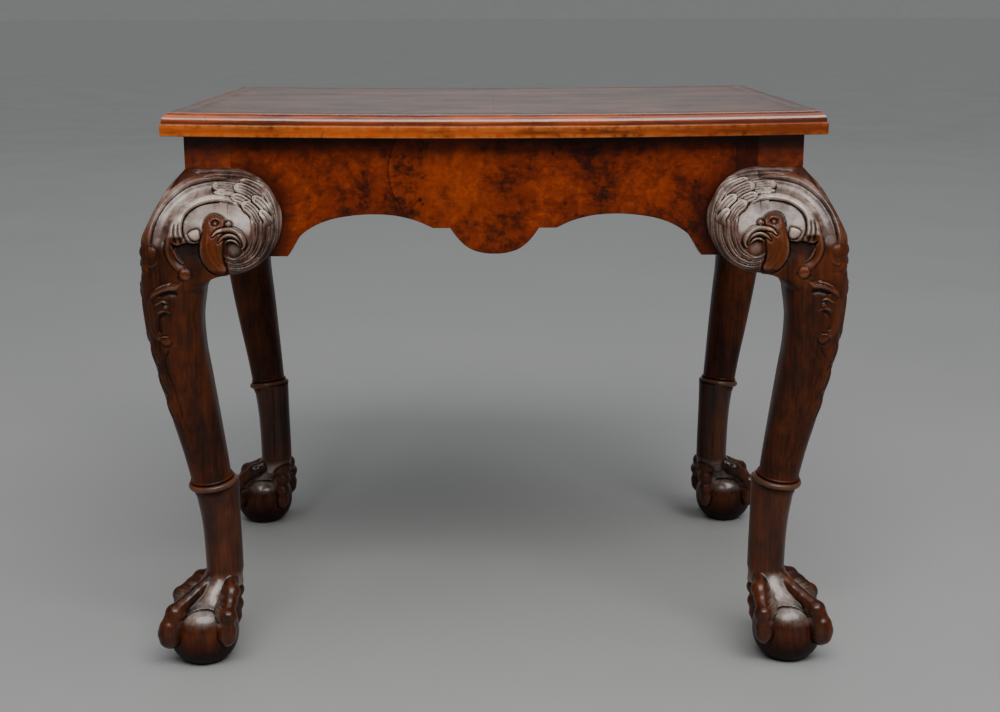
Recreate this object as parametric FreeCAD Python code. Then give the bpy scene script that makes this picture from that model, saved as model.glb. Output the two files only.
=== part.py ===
# Low coffee table with a veneered top and frieze, shaped aprons, and four carved cabriole legs.
# Every solid is drawn in the back right quarter of the table and mirrored to the other corners.
import FreeCAD
import Part
import os
import math

os.makedirs("parts", exist_ok=True)

# Overall sizes
table_height = 535.0
top_length = 605.0
top_depth = 440.0
top_thickness = 21.0
frieze_setback = 18.0

# Top
veneer_thickness = 1.2
moulding_width = 22.0
moulding_square_height = 10.5
moulding_step = 1.4
moulding_step_height = 1.2
ovolo_inset = 6.7
moulding_top_fillet = 1.1

# Frieze frame
post_width = 42.0
rail_thickness = 22.0
apron_depth = 113.0
arch_rise = 39.0
ear_margin = 3.0
tenon_thickness = 9.0
tenon_shoulder = 12.0
tenon_gap = 1.5
joint_clearance = 0.2

# Knee and ears
knee_drop = 31.0
knee_reach = 45.0
knee_height = 93.0
knee_corner_radius = 13.0
ear_rim_thickness = 13.0

# Volute carved on the knee: a hollow band round an eagle's head
volute_shift = 7.0
volute_drop = 11.0
hollow_inner_radius = 41.0
hollow_outer_radius = 52.0
hollow_depth = 2.5
head_relief = 4.0

# Collar ring
ring_sink = 0.9
ring_bead = 5.3
ring_band_margin = 1.6

# Foot
ball_radius = 34.0
ball_flat = 3.5
ball_offset = 3.4
web_rise = 19.5
web_height = 40.0
web_thickness = 1.6
side_toe_angle = 91.0

# Blocks and screws under the top
block_length = 60.0
block_width = 18.0
block_height = 24.0
block_inset = 130.0
screw_shank_diameter = 4.0
screw_head_diameter = 8.0
screw_head_height = 2.8
screw_bite = 12.0
slot_width = 1.0
slot_depth = 1.2

frieze_half_length = top_length / 2 - frieze_setback
frieze_half_depth = top_depth / 2 - frieze_setback
leg_height = table_height - top_thickness
knee_top = leg_height - knee_drop
knee_bottom = knee_top - knee_height
apron_bottom = leg_height - apron_depth
ear_radius = knee_height / 2
ear_middle = knee_bottom + ear_radius
ball_centre_height = ball_radius - ball_flat
web_edge_height = ball_centre_height + web_rise
web_top_height = web_edge_height + web_height
shank_bottom = web_edge_height + web_height / 2
screw_length = block_height + screw_bite

up = FreeCAD.Vector(0, 0, 1)
origin = FreeCAD.Vector(0, 0, 0)

# Each row: height in the knee, then how far the face stands out, as shares of knee height and reach
knee_face_shares = [
    (0.0, 1.0),
    (0.16, 0.985),
    (0.33, 0.94),
    (0.49, 0.80),
    (0.69, 0.55),
    (0.90, 0.20),
    (1.0, 0.0),
]

# Each row: distance along the ear from the knee, then thickness, as shares of radius and reach
ear_face_shares = [
    (0.0, 1.06),
    (0.30, 1.0),
    (0.60, 0.84),
    (0.85, 0.58),
]

# Each row: height, outer face, half width and squareness of one section of the shank.
# Height is a share of the way from foot to knee, the outer face is a share of the knee's reach,
# and the half width is a share of the post's width.
ankle_shares = (0.0, 0.008, 0.408, 2.0)
below_ring_shares = (0.238, 0.089, 0.418, 2.0)
ring_shares = (0.335, 0.200, 0.452, 2.1)
above_ring_shares = (0.425, 0.300, 0.482, 2.3)
shank_shares = [
    ankle_shares,
    (0.072, 0.018, 0.408, 2.0),
    (0.125, 0.030, 0.411, 2.0),
    below_ring_shares,
    ring_shares,
    above_ring_shares,
    (0.553, 0.488, 0.536, 2.5),
    (0.683, 0.680, 0.588, 2.7),
    (0.788, 0.806, 0.615, 2.8),
    (0.876, 0.888, 0.655, 2.9),
    (0.957, 0.935, 0.735, 3.0),
    (1.022, 0.955, 0.815, 3.2),
    (1.070, 0.885, 0.815, 3.2),
]

# Lower edge of the apron from its middle to one ear: shares of the shaped half length and arch rise
lobe_shares = [
    (0.0, 0.045),
    (0.07, 0.08),
    (0.13, 0.20),
    (0.175, 0.40),
    (0.215, 0.667),
]
arch_shares = [
    (0.298, 0.667),
    (0.36, 0.81),
    (0.45, 0.94),
    (0.58, 1.0),
    (0.70, 0.96),
    (0.80, 0.86),
    (0.89, 0.66),
    (0.945, 0.44),
    (0.98, 0.16),
    (1.0, 0.0),
]

# Eagle's head and neck seen from outside, from the back of the neck over the crown to the beak.
# Each row: distance towards the middle of the table and height above the ear's centre,
# as shares of the ear radius.
head_top_shares = [
    (-0.43, -0.84),
    (-0.43, -0.26),
    (-0.37, 0.04),
    (-0.12, 0.24),
    (0.12, 0.16),
    (0.32, -0.10),
    (0.46, -0.44),
]
head_under_shares = [
    (0.46, -0.44),
    (0.31, -0.31),
    (0.10, -0.24),
    (-0.06, -0.36),
    (-0.12, -0.84),
]

# Each row: distance of a toe's centre from the leaning axis of the foot, its height and its
# radius, as shares of ball radius. The radius swells at each knuckle.
front_toe_shares = [
    (0.29, 2.47, 0.135),
    (0.46, 2.24, 0.190),
    (0.60, 2.10, 0.212),
    (0.73, 1.94, 0.218),
    (0.90, 1.79, 0.224),
    (1.01, 1.63, 0.259),
    (1.07, 1.44, 0.240),
    (1.16, 1.25, 0.270),
    (1.20, 1.06, 0.276),
    (1.20, 0.91, 0.240),
    (1.17, 0.79, 0.165),
    (1.15, 0.73, 0.065),
]
side_toe_shares = [
    (0.35, 2.41, 0.135),
    (0.54, 2.27, 0.194),
    (0.75, 2.10, 0.206),
    (0.94, 1.93, 0.224),
    (1.07, 1.77, 0.200),
    (1.16, 1.59, 0.235),
    (1.19, 1.38, 0.212),
    (1.17, 1.18, 0.232),
    (1.14, 1.00, 0.229),
    (1.11, 0.85, 0.176),
    (1.09, 0.76, 0.118),
    (1.07, 0.72, 0.053),
]
back_toe_shares = [
    (0.29, 2.47, 0.135),
    (0.41, 2.29, 0.182),
    (0.59, 2.13, 0.206),
    (0.82, 1.97, 0.203),
    (1.01, 1.78, 0.229),
    (1.09, 1.56, 0.200),
    (1.12, 1.35, 0.226),
    (1.11, 1.15, 0.197),
    (1.09, 0.97, 0.212),
    (1.06, 0.82, 0.170),
    (1.05, 0.75, 0.106),
    (1.04, 0.70, 0.053),
]


# Builds a face from straight lines between the given corners
def polygon_face(corners):
    wire = Part.makePolygon(corners + [corners[0]])
    return Part.Face(wire)


# Smooth edge through the given points
def smooth_edge(points):
    curve = Part.BSplineCurve()
    curve.interpolate(points)
    return curve.toShape()


# Face bounded by one smooth edge and straight lines through the remaining corners
def half_smooth_face(smooth_points, corners):
    edges = [smooth_edge(smooth_points)]
    path = [smooth_points[-1]] + corners + [smooth_points[0]]
    for start, end in zip(path[:-1], path[1:]):
        edges.append(Part.makeLine(start, end))
    return Part.Face(Part.Wire(edges))


# Mirrors a shape to the wanted corner of the table
def to_corner(shape, front, left):
    placed = shape
    if front:
        placed = placed.mirror(origin, FreeCAD.Vector(0, 1, 0))
    if left:
        placed = placed.mirror(origin, FreeCAD.Vector(1, 0, 0))
    return placed


# Moves a shape drawn round the frieze corner to its place in the back right quarter
def at_frieze_corner(shape):
    return shape.translated(FreeCAD.Vector(frieze_half_length, frieze_half_depth, 0))


# Swaps the two horizontal directions, turning a front-facing piece into a side-facing one
def across_diagonal(shape):
    return shape.mirror(origin, FreeCAD.Vector(1, -1, 0))


# Outline of the knee face seen from the side: reach against height
def knee_face_points(x):
    points = []
    for height_share, reach_share in knee_face_shares:
        reach = reach_share * knee_reach
        height = knee_bottom + height_share * knee_height
        points.append(FreeCAD.Vector(x, reach, height))
    return points


# Bar with the knee's face profile, running along the frieze from one distance to another
def knee_bar(start, end):
    lower = FreeCAD.Vector(start, -post_width, knee_bottom)
    upper = FreeCAD.Vector(start, -post_width, knee_top)
    face = half_smooth_face(knee_face_points(start), [upper, lower])
    return face.extrude(FreeCAD.Vector(end - start, 0, 0))


# Knee: two crossing bars meet at a mitre, which is then rounded
def knee_block():
    bar = knee_bar(-post_width, knee_reach)
    block = bar.common(across_diagonal(bar))
    mitre_edges = []
    for edge in block.Edges:
        first = edge.valueAt(edge.FirstParameter)
        last = edge.valueAt(edge.LastParameter)
        on_mitre = abs(first.x - first.y) < joint_clearance and abs(last.x - last.y) < joint_clearance
        outer = max(first.x, last.x) > knee_reach / 2
        rising = abs(first.z - last.z) > knee_height / 2
        if on_mitre and outer and rising:
            mitre_edges.append(edge)
    return block.makeFillet(knee_corner_radius, mitre_edges)


# Hollow band of the volute, cut into the face of the leg above and outside the head
def volute_hollow():
    centre = FreeCAD.Vector(volute_shift - post_width, 0, ear_middle - volute_drop)
    forward = FreeCAD.Vector(0, 1, 0)
    outer = Part.makeCylinder(hollow_outer_radius, 2 * knee_reach, centre, forward)
    inner = Part.makeCylinder(hollow_inner_radius, 2 * knee_reach, centre, forward)
    corner = FreeCAD.Vector(-post_width, 0, centre.z - volute_drop)
    leg_side = Part.makeBox(2 * post_width, 2 * knee_reach, knee_height, corner)
    ground = knee_bar(-2 * post_width, 2 * knee_reach)
    ground = ground.translated(FreeCAD.Vector(0, -hollow_depth, 0))
    return outer.cut(inner).common(leg_side).cut(ground)


# Points of the head's outline, at the middle of the ear
def head_points(shares):
    points = []
    for inward_share, rise_share in shares:
        x = -post_width - inward_share * ear_radius
        z = ear_middle + rise_share * ear_radius
        points.append(FreeCAD.Vector(x, 0, z))
    return points


# Raised eagle's head and neck that follow the curve of the knee
def eagle_head():
    top = head_points(head_top_shares)
    under = head_points(head_under_shares)
    edges = [smooth_edge(top), smooth_edge(under), Part.makeLine(under[-1], top[0])]
    outline = Part.Face(Part.Wire(edges))
    column = outline.extrude(FreeCAD.Vector(0, 2 * knee_reach, 0))
    skin = knee_bar(-3 * post_width, 2 * knee_reach)
    skin = skin.translated(FreeCAD.Vector(0, head_relief, 0))
    return column.common(skin)


# Middle of one shank section, on the upright plane through the diagonal of the corner
def shank_centre(row):
    height_share, outer_share, half_share, squareness = row
    offset = outer_share * knee_reach - half_share * post_width
    height = shank_bottom + height_share * (knee_bottom - shank_bottom)
    return FreeCAD.Vector(offset, offset, height)


# Horizontal section between a circle and a square, as one closed smooth curve
def shank_section(row):
    height_share, outer_share, half_share, squareness = row
    half = half_share * post_width
    count = 24
    points = []
    for step in range(count):
        angle = 2 * math.pi * step / count + math.pi / count
        cosine = math.cos(angle)
        sine = math.sin(angle)
        stretch = (abs(cosine) ** squareness + abs(sine) ** squareness) ** (-1 / squareness)
        spoke = FreeCAD.Vector(half * stretch * cosine, half * stretch * sine, 0)
        points.append(shank_centre(row) + spoke)
    curve = Part.BSplineCurve()
    curve.interpolate(points, PeriodicFlag=True)
    return Part.Wire([curve.toShape()])


# Cabriole shank from the ankle up into the knee
def shank():
    sections = []
    for row in shank_shares:
        sections.append(shank_section(row))
    return Part.makeLoft(sections, True, False)


# Turned collar ring, square to the leaning shank
def collar_ring():
    lean = shank_centre(above_ring_shares) - shank_centre(below_ring_shares)
    lean.normalize()
    centre = shank_centre(ring_shares)
    radius = ring_shares[2] * post_width - ring_sink
    bead = Part.makeTorus(radius, ring_bead, centre, lean)
    band_height = 2 * (ring_bead + ring_band_margin)
    band_foot = centre - lean * (band_height / 2)
    band = Part.makeCylinder(radius + ring_band_margin, band_height, band_foot, lean)
    return bead.fuse(band)


# Point on the leaning axis of the foot: over the ball low down, under the ankle higher up
def foot_axis(height):
    climb = (height - web_edge_height) / (web_top_height - web_edge_height)
    climb = min(max(climb, 0), 1)
    ease = climb * climb * (3 - 2 * climb)
    ankle_offset = shank_centre(ankle_shares).x
    offset = ball_offset + ease * (ankle_offset - ball_offset)
    return FreeCAD.Vector(offset, offset, height)


# One toe: round sections threaded down the foot, turned from the outward diagonal
def toe(rows, turn):
    angle = math.radians(45 + turn)
    outward = FreeCAD.Vector(math.cos(angle), math.sin(angle), 0)
    sideways = FreeCAD.Vector(-math.sin(angle), math.cos(angle), 0)
    centres = []
    for out_share, height_share, radius_share in rows:
        centres.append(foot_axis(height_share * ball_radius) + outward * (out_share * ball_radius))
    sections = []
    for index, row in enumerate(rows):
        before = centres[max(index - 1, 0)]
        after = centres[min(index + 1, len(rows) - 1)]
        direction = after - before
        turned = FreeCAD.Rotation(sideways, direction.cross(sideways), direction, "ZXY")
        circle = Part.makeCircle(row[2] * ball_radius)
        circle.Placement = FreeCAD.Placement(centres[index], turned)
        sections.append(Part.Wire([circle]))
    return Part.makeLoft(sections, True, False)


# Ball cut flat where it stands on the floor
def ball():
    centre = FreeCAD.Vector(ball_offset, ball_offset, ball_centre_height)
    sphere = Part.makeSphere(ball_radius, centre)
    corner = FreeCAD.Vector(ball_offset - ball_radius, ball_offset - ball_radius, -ball_radius)
    below_floor = Part.makeBox(2 * ball_radius, 2 * ball_radius, ball_radius, corner)
    return sphere.cut(below_floor)


# Web of skin spreading from the ankle over the top of the ball
def web():
    top_radius = ankle_shares[2] * post_width - web_thickness
    edge_radius = math.sqrt(ball_radius ** 2 - web_rise ** 2) + web_thickness
    top_ring = Part.Wire([Part.makeCircle(top_radius, foot_axis(web_top_height), up)])
    edge_ring = Part.Wire([Part.makeCircle(edge_radius, foot_axis(web_edge_height), up)])
    return Part.makeLoft([edge_ring, top_ring], True, True)


# Claw and ball foot with an outward toe, two side toes and a back toe
def foot():
    shape = ball().fuse(web())
    shape = shape.fuse(toe(front_toe_shares, 0))
    shape = shape.fuse(toe(side_toe_shares, side_toe_angle))
    shape = shape.fuse(toe(side_toe_shares, -side_toe_angle))
    shape = shape.fuse(toe(back_toe_shares, 180))
    return shape


# Distance from the frieze's outer face to the nearer cheek of a tenon
def tenon_cheek():
    return veneer_thickness + (rail_thickness - tenon_thickness) / 2


# Length of a tenon that stops short of the one coming in from the other side of the post
def tenon_length():
    return post_width - tenon_cheek() - tenon_thickness - tenon_gap


# Mortise in the post for the rail that runs along the frieze
def mortise():
    width = tenon_thickness + 2 * joint_clearance
    back = -tenon_cheek() - tenon_thickness - joint_clearance
    depth = tenon_length() + joint_clearance
    bottom = apron_bottom + tenon_shoulder - joint_clearance
    height = apron_depth - 2 * tenon_shoulder + 2 * joint_clearance
    corner = FreeCAD.Vector(-post_width, back, bottom)
    return Part.makeBox(depth, width, height, corner)


# Whole leg in its own corner frame
def leg():
    face = -veneer_thickness
    post_corner = FreeCAD.Vector(-post_width, -post_width, knee_bottom)
    post = Part.makeBox(post_width + face, post_width + face, leg_height - knee_bottom, post_corner)
    hollow = volute_hollow()
    head = eagle_head()
    beyond_post = Part.makeBox(
        post_width, 2 * knee_reach, table_height, FreeCAD.Vector(-2 * post_width, 0, 0)
    )
    head = head.cut(beyond_post)
    shape = knee_block().cut(hollow).cut(across_diagonal(hollow))
    shape = shape.fuse(head).fuse(across_diagonal(head))
    shape = shape.fuse(post)
    shape = shape.fuse(shank())
    shape = shape.fuse(collar_ring())
    shape = shape.fuse(foot())
    slot = mortise()
    shape = shape.cut(slot)
    shape = shape.cut(across_diagonal(slot))
    return shape.removeSplitter()


# Ear: the knee face carried on over the apron, thinning to a round volute rim
def ear():
    rim_x = -post_width - ear_radius
    bar = knee_bar(rim_x, -post_width)
    middle = FreeCAD.Vector(-post_width, 0, ear_middle)
    disc = Part.makeCylinder(ear_radius, 2 * knee_reach, middle, FreeCAD.Vector(0, 1, 0))
    thinning = []
    for along_share, reach_share in ear_face_shares:
        x = -post_width - along_share * ear_radius
        thinning.append(FreeCAD.Vector(x, reach_share * knee_reach, knee_bottom))
    thinning.append(FreeCAD.Vector(rim_x, ear_rim_thickness, knee_bottom))
    corners = [
        FreeCAD.Vector(rim_x, 0, knee_bottom),
        FreeCAD.Vector(-post_width, 0, knee_bottom),
    ]
    plan = half_smooth_face(thinning, corners)
    wedge = plan.extrude(FreeCAD.Vector(0, 0, knee_height))
    shape = bar.common(disc).common(wedge)
    over_leg = Part.makeBox(
        2 * post_width, 2 * knee_reach, table_height, FreeCAD.Vector(-post_width, 0, 0)
    )
    return shape.fuse(eagle_head().cut(over_leg)).removeSplitter()


# Outline of a rail seen from outside, with a lobe at the middle and an arch to each side
def rail_outline(half_length, y):
    shaped = half_length - ear_radius - ear_margin
    lobe = []
    for along_share, rise_share in lobe_shares:
        point = FreeCAD.Vector(along_share * shaped, y, apron_bottom + rise_share * arch_rise)
        lobe.append(point)
    arch = []
    for along_share, rise_share in arch_shares:
        point = FreeCAD.Vector(along_share * shaped, y, apron_bottom + rise_share * arch_rise)
        arch.append(point)
    mirrored_lobe = []
    for point in reversed(lobe[1:]):
        mirrored_lobe.append(FreeCAD.Vector(-point.x, y, point.z))
    mirrored_arch = []
    for point in arch:
        mirrored_arch.append(FreeCAD.Vector(-point.x, y, point.z))
    low_right = FreeCAD.Vector(half_length, y, apron_bottom)
    high_right = FreeCAD.Vector(half_length, y, leg_height)
    high_left = FreeCAD.Vector(-half_length, y, leg_height)
    low_left = FreeCAD.Vector(-half_length, y, apron_bottom)
    edges = [
        smooth_edge(mirrored_lobe + lobe),
        Part.makeLine(lobe[-1], arch[0]),
        smooth_edge(arch),
        Part.makeLine(arch[-1], low_right),
        Part.makeLine(low_right, high_right),
        Part.makeLine(high_right, high_left),
        Part.makeLine(high_left, low_left),
        Part.makeLine(low_left, mirrored_arch[-1]),
        smooth_edge(mirrored_arch),
        Part.makeLine(mirrored_arch[0], mirrored_lobe[0]),
    ]
    return Part.Face(Part.Wire(edges))


# Rail with a tenon at each end, its outer face behind the veneer
def rail(half_length, face):
    back = face - veneer_thickness - rail_thickness
    board = rail_outline(half_length, back).extrude(FreeCAD.Vector(0, rail_thickness, 0))
    tenon_back = face - tenon_cheek() - tenon_thickness
    tenon_height = apron_depth - 2 * tenon_shoulder
    for start in (-half_length - tenon_length(), half_length):
        corner = FreeCAD.Vector(start, tenon_back, apron_bottom + tenon_shoulder)
        tenon = Part.makeBox(tenon_length(), tenon_thickness, tenon_height, corner)
        board = board.fuse(tenon)
    return board.removeSplitter()


# Veneer over the whole outer face of a rail
def rail_veneer(half_length, face):
    sheet = rail_outline(half_length, face - veneer_thickness)
    return sheet.extrude(FreeCAD.Vector(0, veneer_thickness, 0))


# Veneer on the outer face of a post, above the knee, lapping the corner on the long sides
def post_veneer(laps_corner):
    end = 0 if laps_corner else -veneer_thickness
    corner = FreeCAD.Vector(-post_width, -veneer_thickness, knee_top)
    return Part.makeBox(post_width + end, veneer_thickness, leg_height - knee_top, corner)


# Core board of the top
def top_core():
    length = top_length - 2 * moulding_width
    depth = top_depth - 2 * moulding_width
    corner = FreeCAD.Vector(-length / 2, -depth / 2, leg_height)
    board = Part.makeBox(length, depth, top_thickness - veneer_thickness, corner)
    for x, y in block_places():
        board = board.cut(screw_hole(x, y))
    return board


# One of the two veneer leaves of the top, meeting at the centre seam
def top_veneer():
    length = top_length / 2 - moulding_width
    depth = top_depth - 2 * moulding_width
    corner = FreeCAD.Vector(0, -depth / 2, table_height - veneer_thickness)
    return Part.makeBox(length, depth, veneer_thickness, corner)


# Edge moulding along one side of the top with both ends cut to a mitre
def edge_moulding(length, reach):
    half = length / 2
    inner = reach - moulding_width
    step_y = reach - moulding_step
    step_z = leg_height + moulding_square_height + moulding_step_height
    top_y = reach - ovolo_inset
    fillet_z = table_height - moulding_top_fillet
    ovolo_rise = fillet_z - step_z
    ovolo_run = step_y - top_y
    slant = math.sqrt(0.5)
    middle_y = top_y + ovolo_run * slant
    middle_z = step_z + ovolo_rise * slant
    square_top = leg_height + moulding_square_height
    step = FreeCAD.Vector(-half, step_y, step_z)
    middle = FreeCAD.Vector(-half, middle_y, middle_z)
    crest = FreeCAD.Vector(-half, top_y, fillet_z)
    ovolo = Part.Arc(step, middle, crest).toShape()
    corners = [
        crest,
        FreeCAD.Vector(-half, top_y, table_height),
        FreeCAD.Vector(-half, inner, table_height),
        FreeCAD.Vector(-half, inner, leg_height),
        FreeCAD.Vector(-half, reach, leg_height),
        FreeCAD.Vector(-half, reach, square_top),
        FreeCAD.Vector(-half, step_y, square_top),
        step,
    ]
    edges = [ovolo]
    for start, end in zip(corners[:-1], corners[1:]):
        edges.append(Part.makeLine(start, end))
    bar = Part.Face(Part.Wire(edges)).extrude(FreeCAD.Vector(length, 0, 0))
    plan = polygon_face([
        FreeCAD.Vector(-half, reach, leg_height),
        FreeCAD.Vector(half, reach, leg_height),
        FreeCAD.Vector(half - moulding_width, inner, leg_height),
        FreeCAD.Vector(-half + moulding_width, inner, leg_height),
    ])
    return bar.common(plan.extrude(FreeCAD.Vector(0, 0, top_thickness)))


# Middle points of the blocks under the top: two on each long rail, one on each short rail
def block_places():
    long_y = frieze_half_depth - veneer_thickness - rail_thickness - block_width / 2
    short_x = frieze_half_length - veneer_thickness - rail_thickness - block_width / 2
    return [
        (-block_inset, -long_y),
        (block_inset, -long_y),
        (-block_inset, long_y),
        (block_inset, long_y),
        (-short_x, 0),
        (short_x, 0),
    ]


# Hole for one screw, a little wider than the shank and head
def screw_hole(x, y):
    bottom = leg_height - block_height
    foot_point = FreeCAD.Vector(x, y, bottom)
    shank_radius = screw_shank_diameter / 2 + joint_clearance
    head_radius = screw_head_diameter / 2 + joint_clearance
    length = screw_length + joint_clearance
    hole = Part.makeCylinder(shank_radius, length, foot_point, up)
    sink = Part.makeCone(head_radius, shank_radius, screw_head_height, foot_point, up)
    return hole.fuse(sink)


# Slotted countersunk screw, head downward
def screw(x, y):
    bottom = leg_height - block_height
    foot_point = FreeCAD.Vector(x, y, bottom)
    shank_radius = screw_shank_diameter / 2
    body = Part.makeCylinder(shank_radius, screw_length, foot_point, up)
    head = Part.makeCone(screw_head_diameter / 2, shank_radius, screw_head_height, foot_point, up)
    slot_corner = FreeCAD.Vector(x - screw_head_diameter / 2, y - slot_width / 2, bottom)
    slot = Part.makeBox(screw_head_diameter, slot_width, slot_depth, slot_corner)
    return body.fuse(head).cut(slot)


# Glue block in the angle between a rail and the top
def glue_block(x, y, along_x):
    length = block_length if along_x else block_width
    width = block_width if along_x else block_length
    corner = FreeCAD.Vector(x - length / 2, y - width / 2, leg_height - block_height)
    return Part.makeBox(length, width, block_height, corner).cut(screw_hole(x, y))


# Writes one node
def save(shape, name):
    shape.exportStep("parts/" + name + ".step")


corner_names = [
    ("back_right", False, False),
    ("back_left", False, True),
    ("front_right", True, False),
    ("front_left", True, True),
]

save(top_core(), "top_core")
save(top_veneer(), "top_veneer_right")
save(to_corner(top_veneer(), False, True), "top_veneer_left")

long_moulding = edge_moulding(top_length, top_depth / 2)
save(long_moulding, "edge_moulding_back")
save(to_corner(long_moulding, True, False), "edge_moulding_front")
short_moulding = across_diagonal(edge_moulding(top_depth, top_length / 2))
save(short_moulding, "edge_moulding_right")
save(to_corner(short_moulding, False, True), "edge_moulding_left")

long_half = frieze_half_length - post_width
short_half = frieze_half_depth - post_width
long_rail = rail(long_half, frieze_half_depth)
long_veneer = rail_veneer(long_half, frieze_half_depth)
short_rail = across_diagonal(rail(short_half, frieze_half_length))
short_veneer = across_diagonal(rail_veneer(short_half, frieze_half_length))
save(long_rail, "rail_back")
save(long_veneer, "rail_veneer_back")
save(to_corner(long_rail, True, False), "rail_front")
save(to_corner(long_veneer, True, False), "rail_veneer_front")
save(short_rail, "rail_right")
save(short_veneer, "rail_veneer_right")
save(to_corner(short_rail, False, True), "rail_left")
save(to_corner(short_veneer, False, True), "rail_veneer_left")

leg_shape = at_frieze_corner(leg())
long_ear = at_frieze_corner(ear())
short_ear = at_frieze_corner(across_diagonal(ear()))
long_post_veneer = at_frieze_corner(post_veneer(True))
short_post_veneer = at_frieze_corner(across_diagonal(post_veneer(False)))
for corner_name, front, left in corner_names:
    save(to_corner(leg_shape, front, left), "leg_" + corner_name)
    save(to_corner(long_ear, front, left), "ear_long_" + corner_name)
    save(to_corner(short_ear, front, left), "ear_short_" + corner_name)
    save(to_corner(long_post_veneer, front, left), "post_veneer_long_" + corner_name)
    save(to_corner(short_post_veneer, front, left), "post_veneer_short_" + corner_name)

block_names = ["front_left", "front_right", "back_left", "back_right", "left", "right"]
screws = []
for name, place in zip(block_names, block_places()):
    x, y = place
    save(glue_block(x, y, y != 0), "glue_block_" + name)
    screws.append(screw(x, y))
save(Part.makeCompound(screws), "top_screws")
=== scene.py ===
# %% [markdown]
# # A carved coffee table
# The table has a sagging burr veneered top, a shaped apron, and four cabriole legs whose knees are
# carved with an eagle's head inside a volute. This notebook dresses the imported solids: it loads
# them as a fixed frame, replaces the carved and moulded ones with finer surfaces, and gives every
# piece its finish. Lengths are in millimetres until a mesh is made, as a maker would write them.

# %% Load the frame
import math
import bpy
import numpy as np
from mathutils import Matrix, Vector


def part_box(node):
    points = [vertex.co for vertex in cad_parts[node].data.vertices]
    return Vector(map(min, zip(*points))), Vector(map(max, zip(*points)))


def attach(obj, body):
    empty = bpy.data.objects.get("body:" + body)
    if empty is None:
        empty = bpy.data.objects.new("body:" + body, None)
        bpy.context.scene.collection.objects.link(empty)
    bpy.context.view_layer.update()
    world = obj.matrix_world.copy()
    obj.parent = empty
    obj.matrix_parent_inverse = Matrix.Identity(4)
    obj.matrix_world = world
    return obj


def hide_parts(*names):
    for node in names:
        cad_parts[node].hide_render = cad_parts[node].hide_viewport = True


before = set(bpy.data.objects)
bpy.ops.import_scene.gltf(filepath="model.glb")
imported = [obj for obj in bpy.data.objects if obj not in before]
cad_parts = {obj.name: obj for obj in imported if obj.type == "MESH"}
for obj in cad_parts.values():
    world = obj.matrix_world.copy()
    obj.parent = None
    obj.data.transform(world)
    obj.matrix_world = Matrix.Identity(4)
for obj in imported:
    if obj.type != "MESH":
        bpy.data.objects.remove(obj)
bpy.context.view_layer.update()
print("frame nodes:", len(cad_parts))

# %% [markdown]
# ## Sizes read from the frame
# A dressed piece has to sit exactly where its solid is. The main sizes are therefore read from the
# boxes of the solids instead of being typed again, and a change of the frame moves the dress too.

# %% Sizes of the table
mm_per_metre = 1000


def box_mm(node):
    """Lowest and highest corner of a node, in millimetres."""
    low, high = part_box(node)
    return np.array(low) * mm_per_metre, np.array(high) * mm_per_metre


frieze_length = box_mm("rail_veneer_right")[1][0]
frieze_depth = box_mm("rail_veneer_back")[1][1]
top_low, top_high = box_mm("edge_moulding_right")
half_length, half_depth = top_high[0], top_high[1]
under_top, table_top = top_low[2], top_high[2]
apron_bottom = box_mm("rail_back")[0][2]
knee_top = box_mm("post_veneer_long_back_right")[0][2]
knee_bottom = box_mm("ear_long_back_right")[0][2]
post_width = 42.0
veneer = 1.2
ear_radius = (knee_top - knee_bottom) / 2
ear_middle = (knee_top + knee_bottom) / 2
print("top", half_length * 2, half_depth * 2, table_top, "knee", knee_bottom, knee_top)

# %% [markdown]
# ## Surfaces from grids
# Every new piece here is a sheet of points with rows and columns. Turned and lofted work closes
# round its columns and is capped at both ends, like a bag with its mouth drawn shut. One function
# makes the faces for all of them, and another turns them round where they would face inwards.

# %% Closed skins and meshes
metres_per_mm = 0.001


def closed_skin(points, first_cap, last_cap):
    """Quads between neighbouring rows, wrapped round the columns, and a fan at each end."""
    rows, columns = points.shape[:2]
    index = np.arange(rows * columns).reshape(rows, columns)
    beside = np.roll(index, -1, axis=1)
    quads = np.stack([index[:-1], beside[:-1], beside[1:], index[1:]], -1).reshape(-1, 4)
    start, end = rows * columns, rows * columns + 1
    fan_in = np.stack([beside[0], index[0], np.full(columns, start)], -1)
    fan_out = np.stack([index[-1], beside[-1], np.full(columns, end)], -1)
    vertices = np.concatenate([points.reshape(-1, 3), [first_cap], [last_cap]])
    return vertices, quads, np.concatenate([fan_in, fan_out])


def point_values(values):
    """Each grid of values as one row for the mesh, with nought at the two points that close the ends."""
    return {key: np.append(value.ravel(), [0, 0]) for key, value in values.items()}


def make_mesh(name, vertices, quads, triangles, attributes=None, crease=50):
    """A mesh in metres from arrays in millimetres, smooth except where faces meet at a crease."""
    mesh = bpy.data.meshes.new(name)
    mesh.vertices.add(len(vertices))
    mesh.vertices.foreach_set("co", (vertices * metres_per_mm).astype(np.float32).ravel())
    corners = np.concatenate([quads.ravel(), triangles.ravel()]).astype(np.int32)
    starts = np.arange(len(quads)) * 4
    starts = np.concatenate([starts, 4 * len(quads) + np.arange(len(triangles)) * 3])
    mesh.loops.add(len(corners))
    mesh.loops.foreach_set("vertex_index", corners)
    mesh.polygons.add(len(starts))
    mesh.polygons.foreach_set("loop_start", starts.astype(np.int32))
    mesh.update(calc_edges=True)
    for key, values in (attributes or {}).items():
        mesh.attributes.new(key, "FLOAT", "POINT").data.foreach_set("value", values.astype(np.float32))
    mesh.validate()
    mesh.shade_smooth()
    mesh.set_sharp_from_angle(angle=math.radians(crease))
    return mesh


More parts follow.
